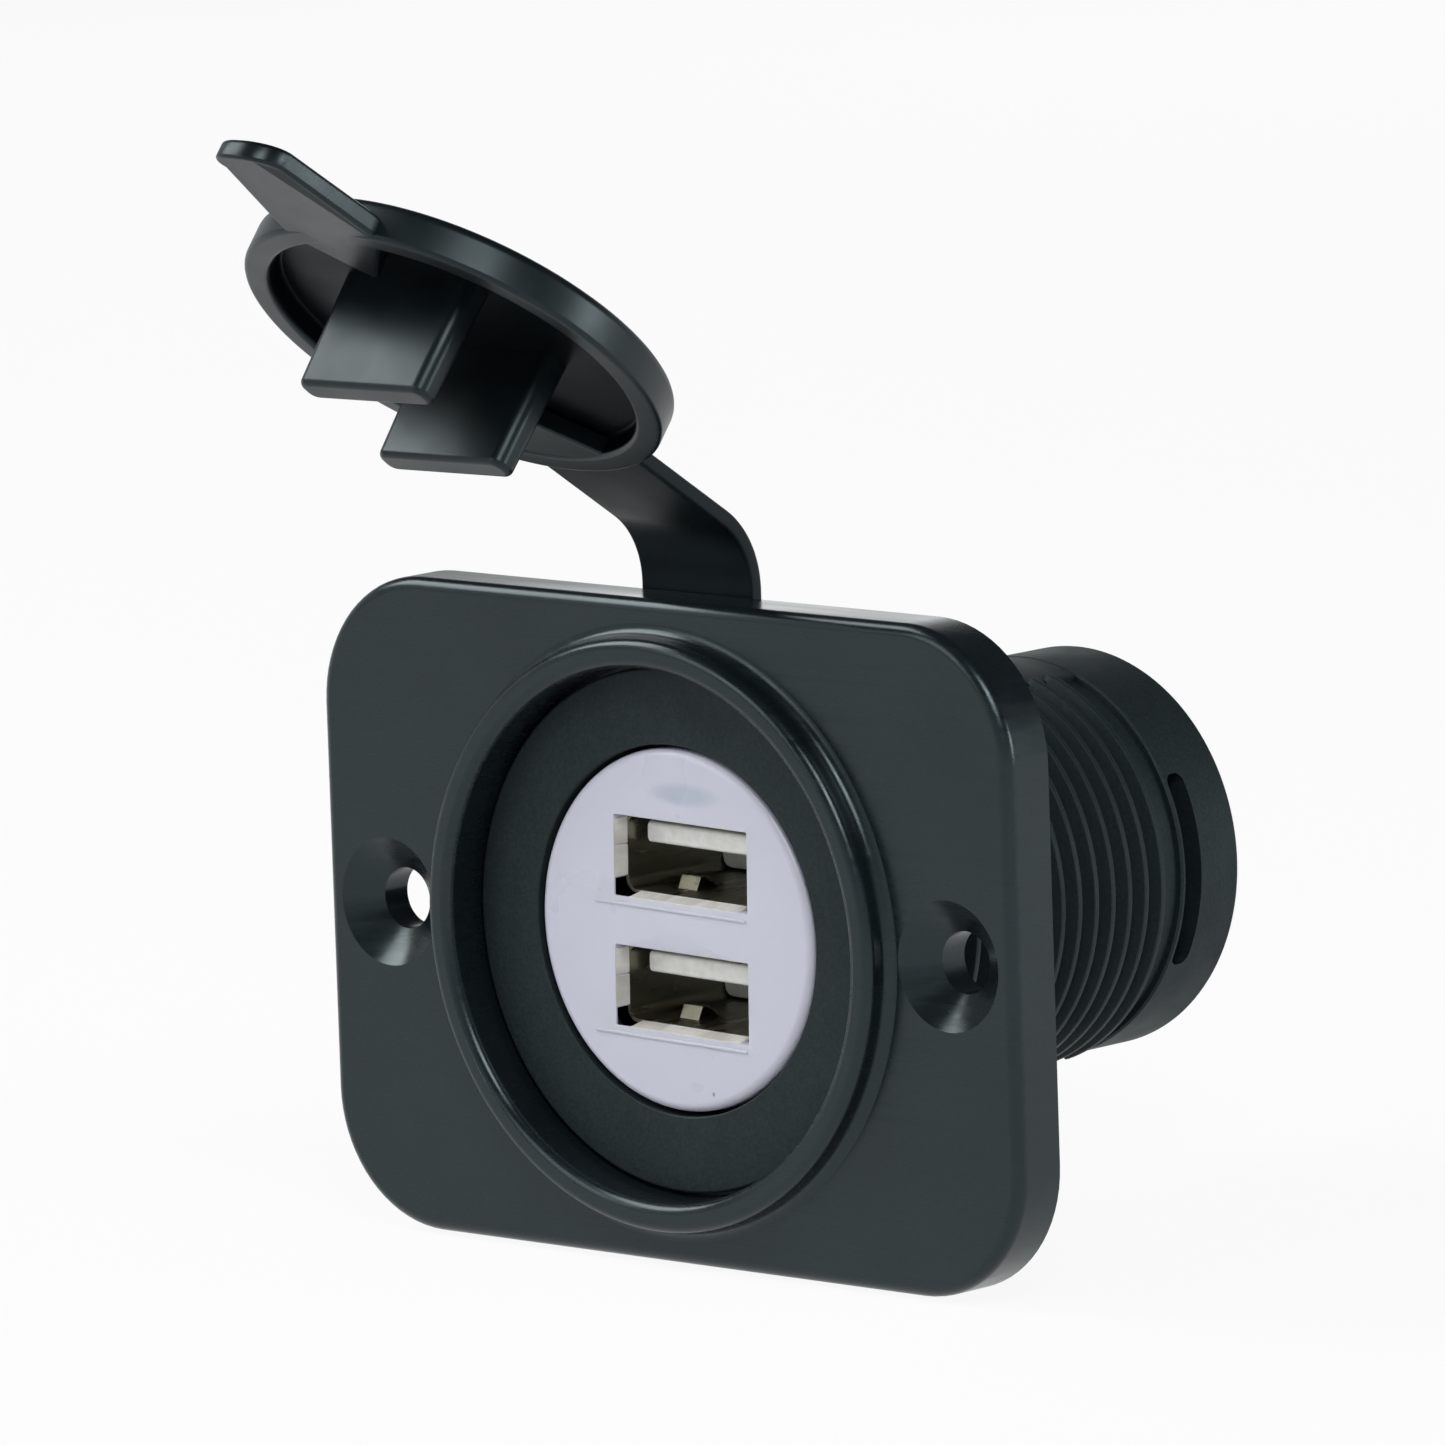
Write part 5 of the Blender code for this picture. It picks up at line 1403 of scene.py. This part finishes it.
class SOCKET_OT_strap(Operator):
    """Builds the rubber strap from the ring's neck to the cap"""
    bl_idname = "socket.strap"
    bl_label = "Strap"

    def execute(self, context):
        sizes = context.scene.socket_strap
        cap = context.scene.socket_cap
        route = self.route(sizes, cap)
        lower_share = 0.55
        split = int(len(route) * lower_share)
        lower = self.swept("strap_lower", route[:split + 1], sizes)
        upper = self.swept("strap_upper", route[split:], sizes)
        # The strap takes the duller copy of the rubber, as painted shade
        lower = dressed(lower, "rubber_strap_painted_shade", None, "rubber", "cap_strap")
        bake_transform(lower)
        upper = dressed(upper, "rubber_strap_painted_shade", None, "rubber")
        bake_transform(upper)
        return {"FINISHED"}

    def route(self, sizes, cap):
        """The middle line seen from the side: up, round one bend, then along to the cap."""
        along, press, centre = cap_axes(cap)
        neck_depth = 0.9 * MM
        sunk = 0.4 * MM
        start = Vector((neck_depth, sizes.root_height - sunk))
        edge = centre - along * (cap.radius - sunk) + press * cap.floor
        end = Vector((edge.y, edge.z))
        direction = Vector((-math.cos(sizes.tilt), math.sin(sizes.tilt)))
        corner = end - direction * ((end.x - start.x) / direction.x)
        turn = math.pi / 2 - sizes.tilt
        tangent = sizes.bend * math.tan(turn / 2)
        bend_centre = (start.x - sizes.bend, corner.y - tangent)
        points = [tuple(start)]
        bend_steps = 22
        run_steps = 14
        points += arc(bend_centre, sizes.bend, 0, math.degrees(turn), bend_steps)
        last = Vector(points[-1])
        points += [tuple(last.lerp(end, step / run_steps)) for step in range(1, run_steps + 1)]
        return points

    def swept(self, name, route, sizes):
        """A rounded bar along the route, with closed ends."""
        body = bmesh.new()
        section = rounded_rectangle(sizes.width, sizes.thickness, sizes.edge, 4)
        rings = []
        for index, point in enumerate(route):
            before = Vector(route[max(index - 1, 0)])
            after = Vector(route[min(index + 1, len(route) - 1)])
            ahead = (after - before).normalized()
            across = Vector((ahead.y, -ahead.x))
            rings.append([
                body.verts.new((u, point[0] + across.x * v, point[1] + across.y * v))
                for u, v in section
            ])
        count = len(section)
        for low, high in zip(rings, rings[1:]):
            for place in range(count):
                after = (place + 1) % count
                body.faces.new((low[place], low[after], high[after], high[place]))
        body.faces.new(rings[0])
        body.faces.new(rings[-1])
        return from_bmesh(name, body)


# Panel and registration

BUILD_STEPS = (
    SOCKET_OT_finishes, SOCKET_OT_plate, SOCKET_OT_barrel, SOCKET_OT_insert, SOCKET_OT_ports,
    SOCKET_OT_rear, SOCKET_OT_cap, SOCKET_OT_strap, SOCKET_OT_stage,
)
SETTINGS = {
    "socket_plate": PlateSizes, "socket_barrel": BarrelSizes, "socket_ports": PortSizes,
    "socket_cap": CapSizes, "socket_strap": StrapSizes, "socket_finishes": FinishColours,
    "socket_stage": StageSettings,
}


class SOCKET_PT_panel(Panel):
    """Lists the steps that build the socket"""
    bl_idname = "SOCKET_PT_panel"
    bl_label = "Dual USB Socket"
    bl_space_type = "VIEW_3D"
    bl_region_type = "UI"
    bl_category = "Socket"

    def draw(self, context):
        for step in BUILD_STEPS:
            self.layout.operator(step.bl_idname)
        for name, settings in SETTINGS.items():
            column = self.layout.column(heading=settings.__name__)
            for field in settings.__annotations__:
                column.prop(getattr(context.scene, name), field)


CLASSES = (*SETTINGS.values(), *BUILD_STEPS, SOCKET_PT_panel)


def register():
    for kind in CLASSES:
        bpy.utils.register_class(kind)
    for name, settings in SETTINGS.items():
        setattr(bpy.types.Scene, name, PointerProperty(type=settings))


def unregister():
    for name in SETTINGS:
        delattr(bpy.types.Scene, name)
    for kind in reversed(CLASSES):
        bpy.utils.unregister_class(kind)


def main():
    """Builds every piece in order."""
    register()
    bpy.ops.socket.finishes()
    bpy.ops.socket.plate()
    bpy.ops.socket.barrel()
    bpy.ops.socket.insert()
    bpy.ops.socket.ports()
    bpy.ops.socket.rear()
    bpy.ops.socket.cap()
    bpy.ops.socket.strap()
    bpy.ops.socket.stage()


if __name__ == "__main__":
    main()
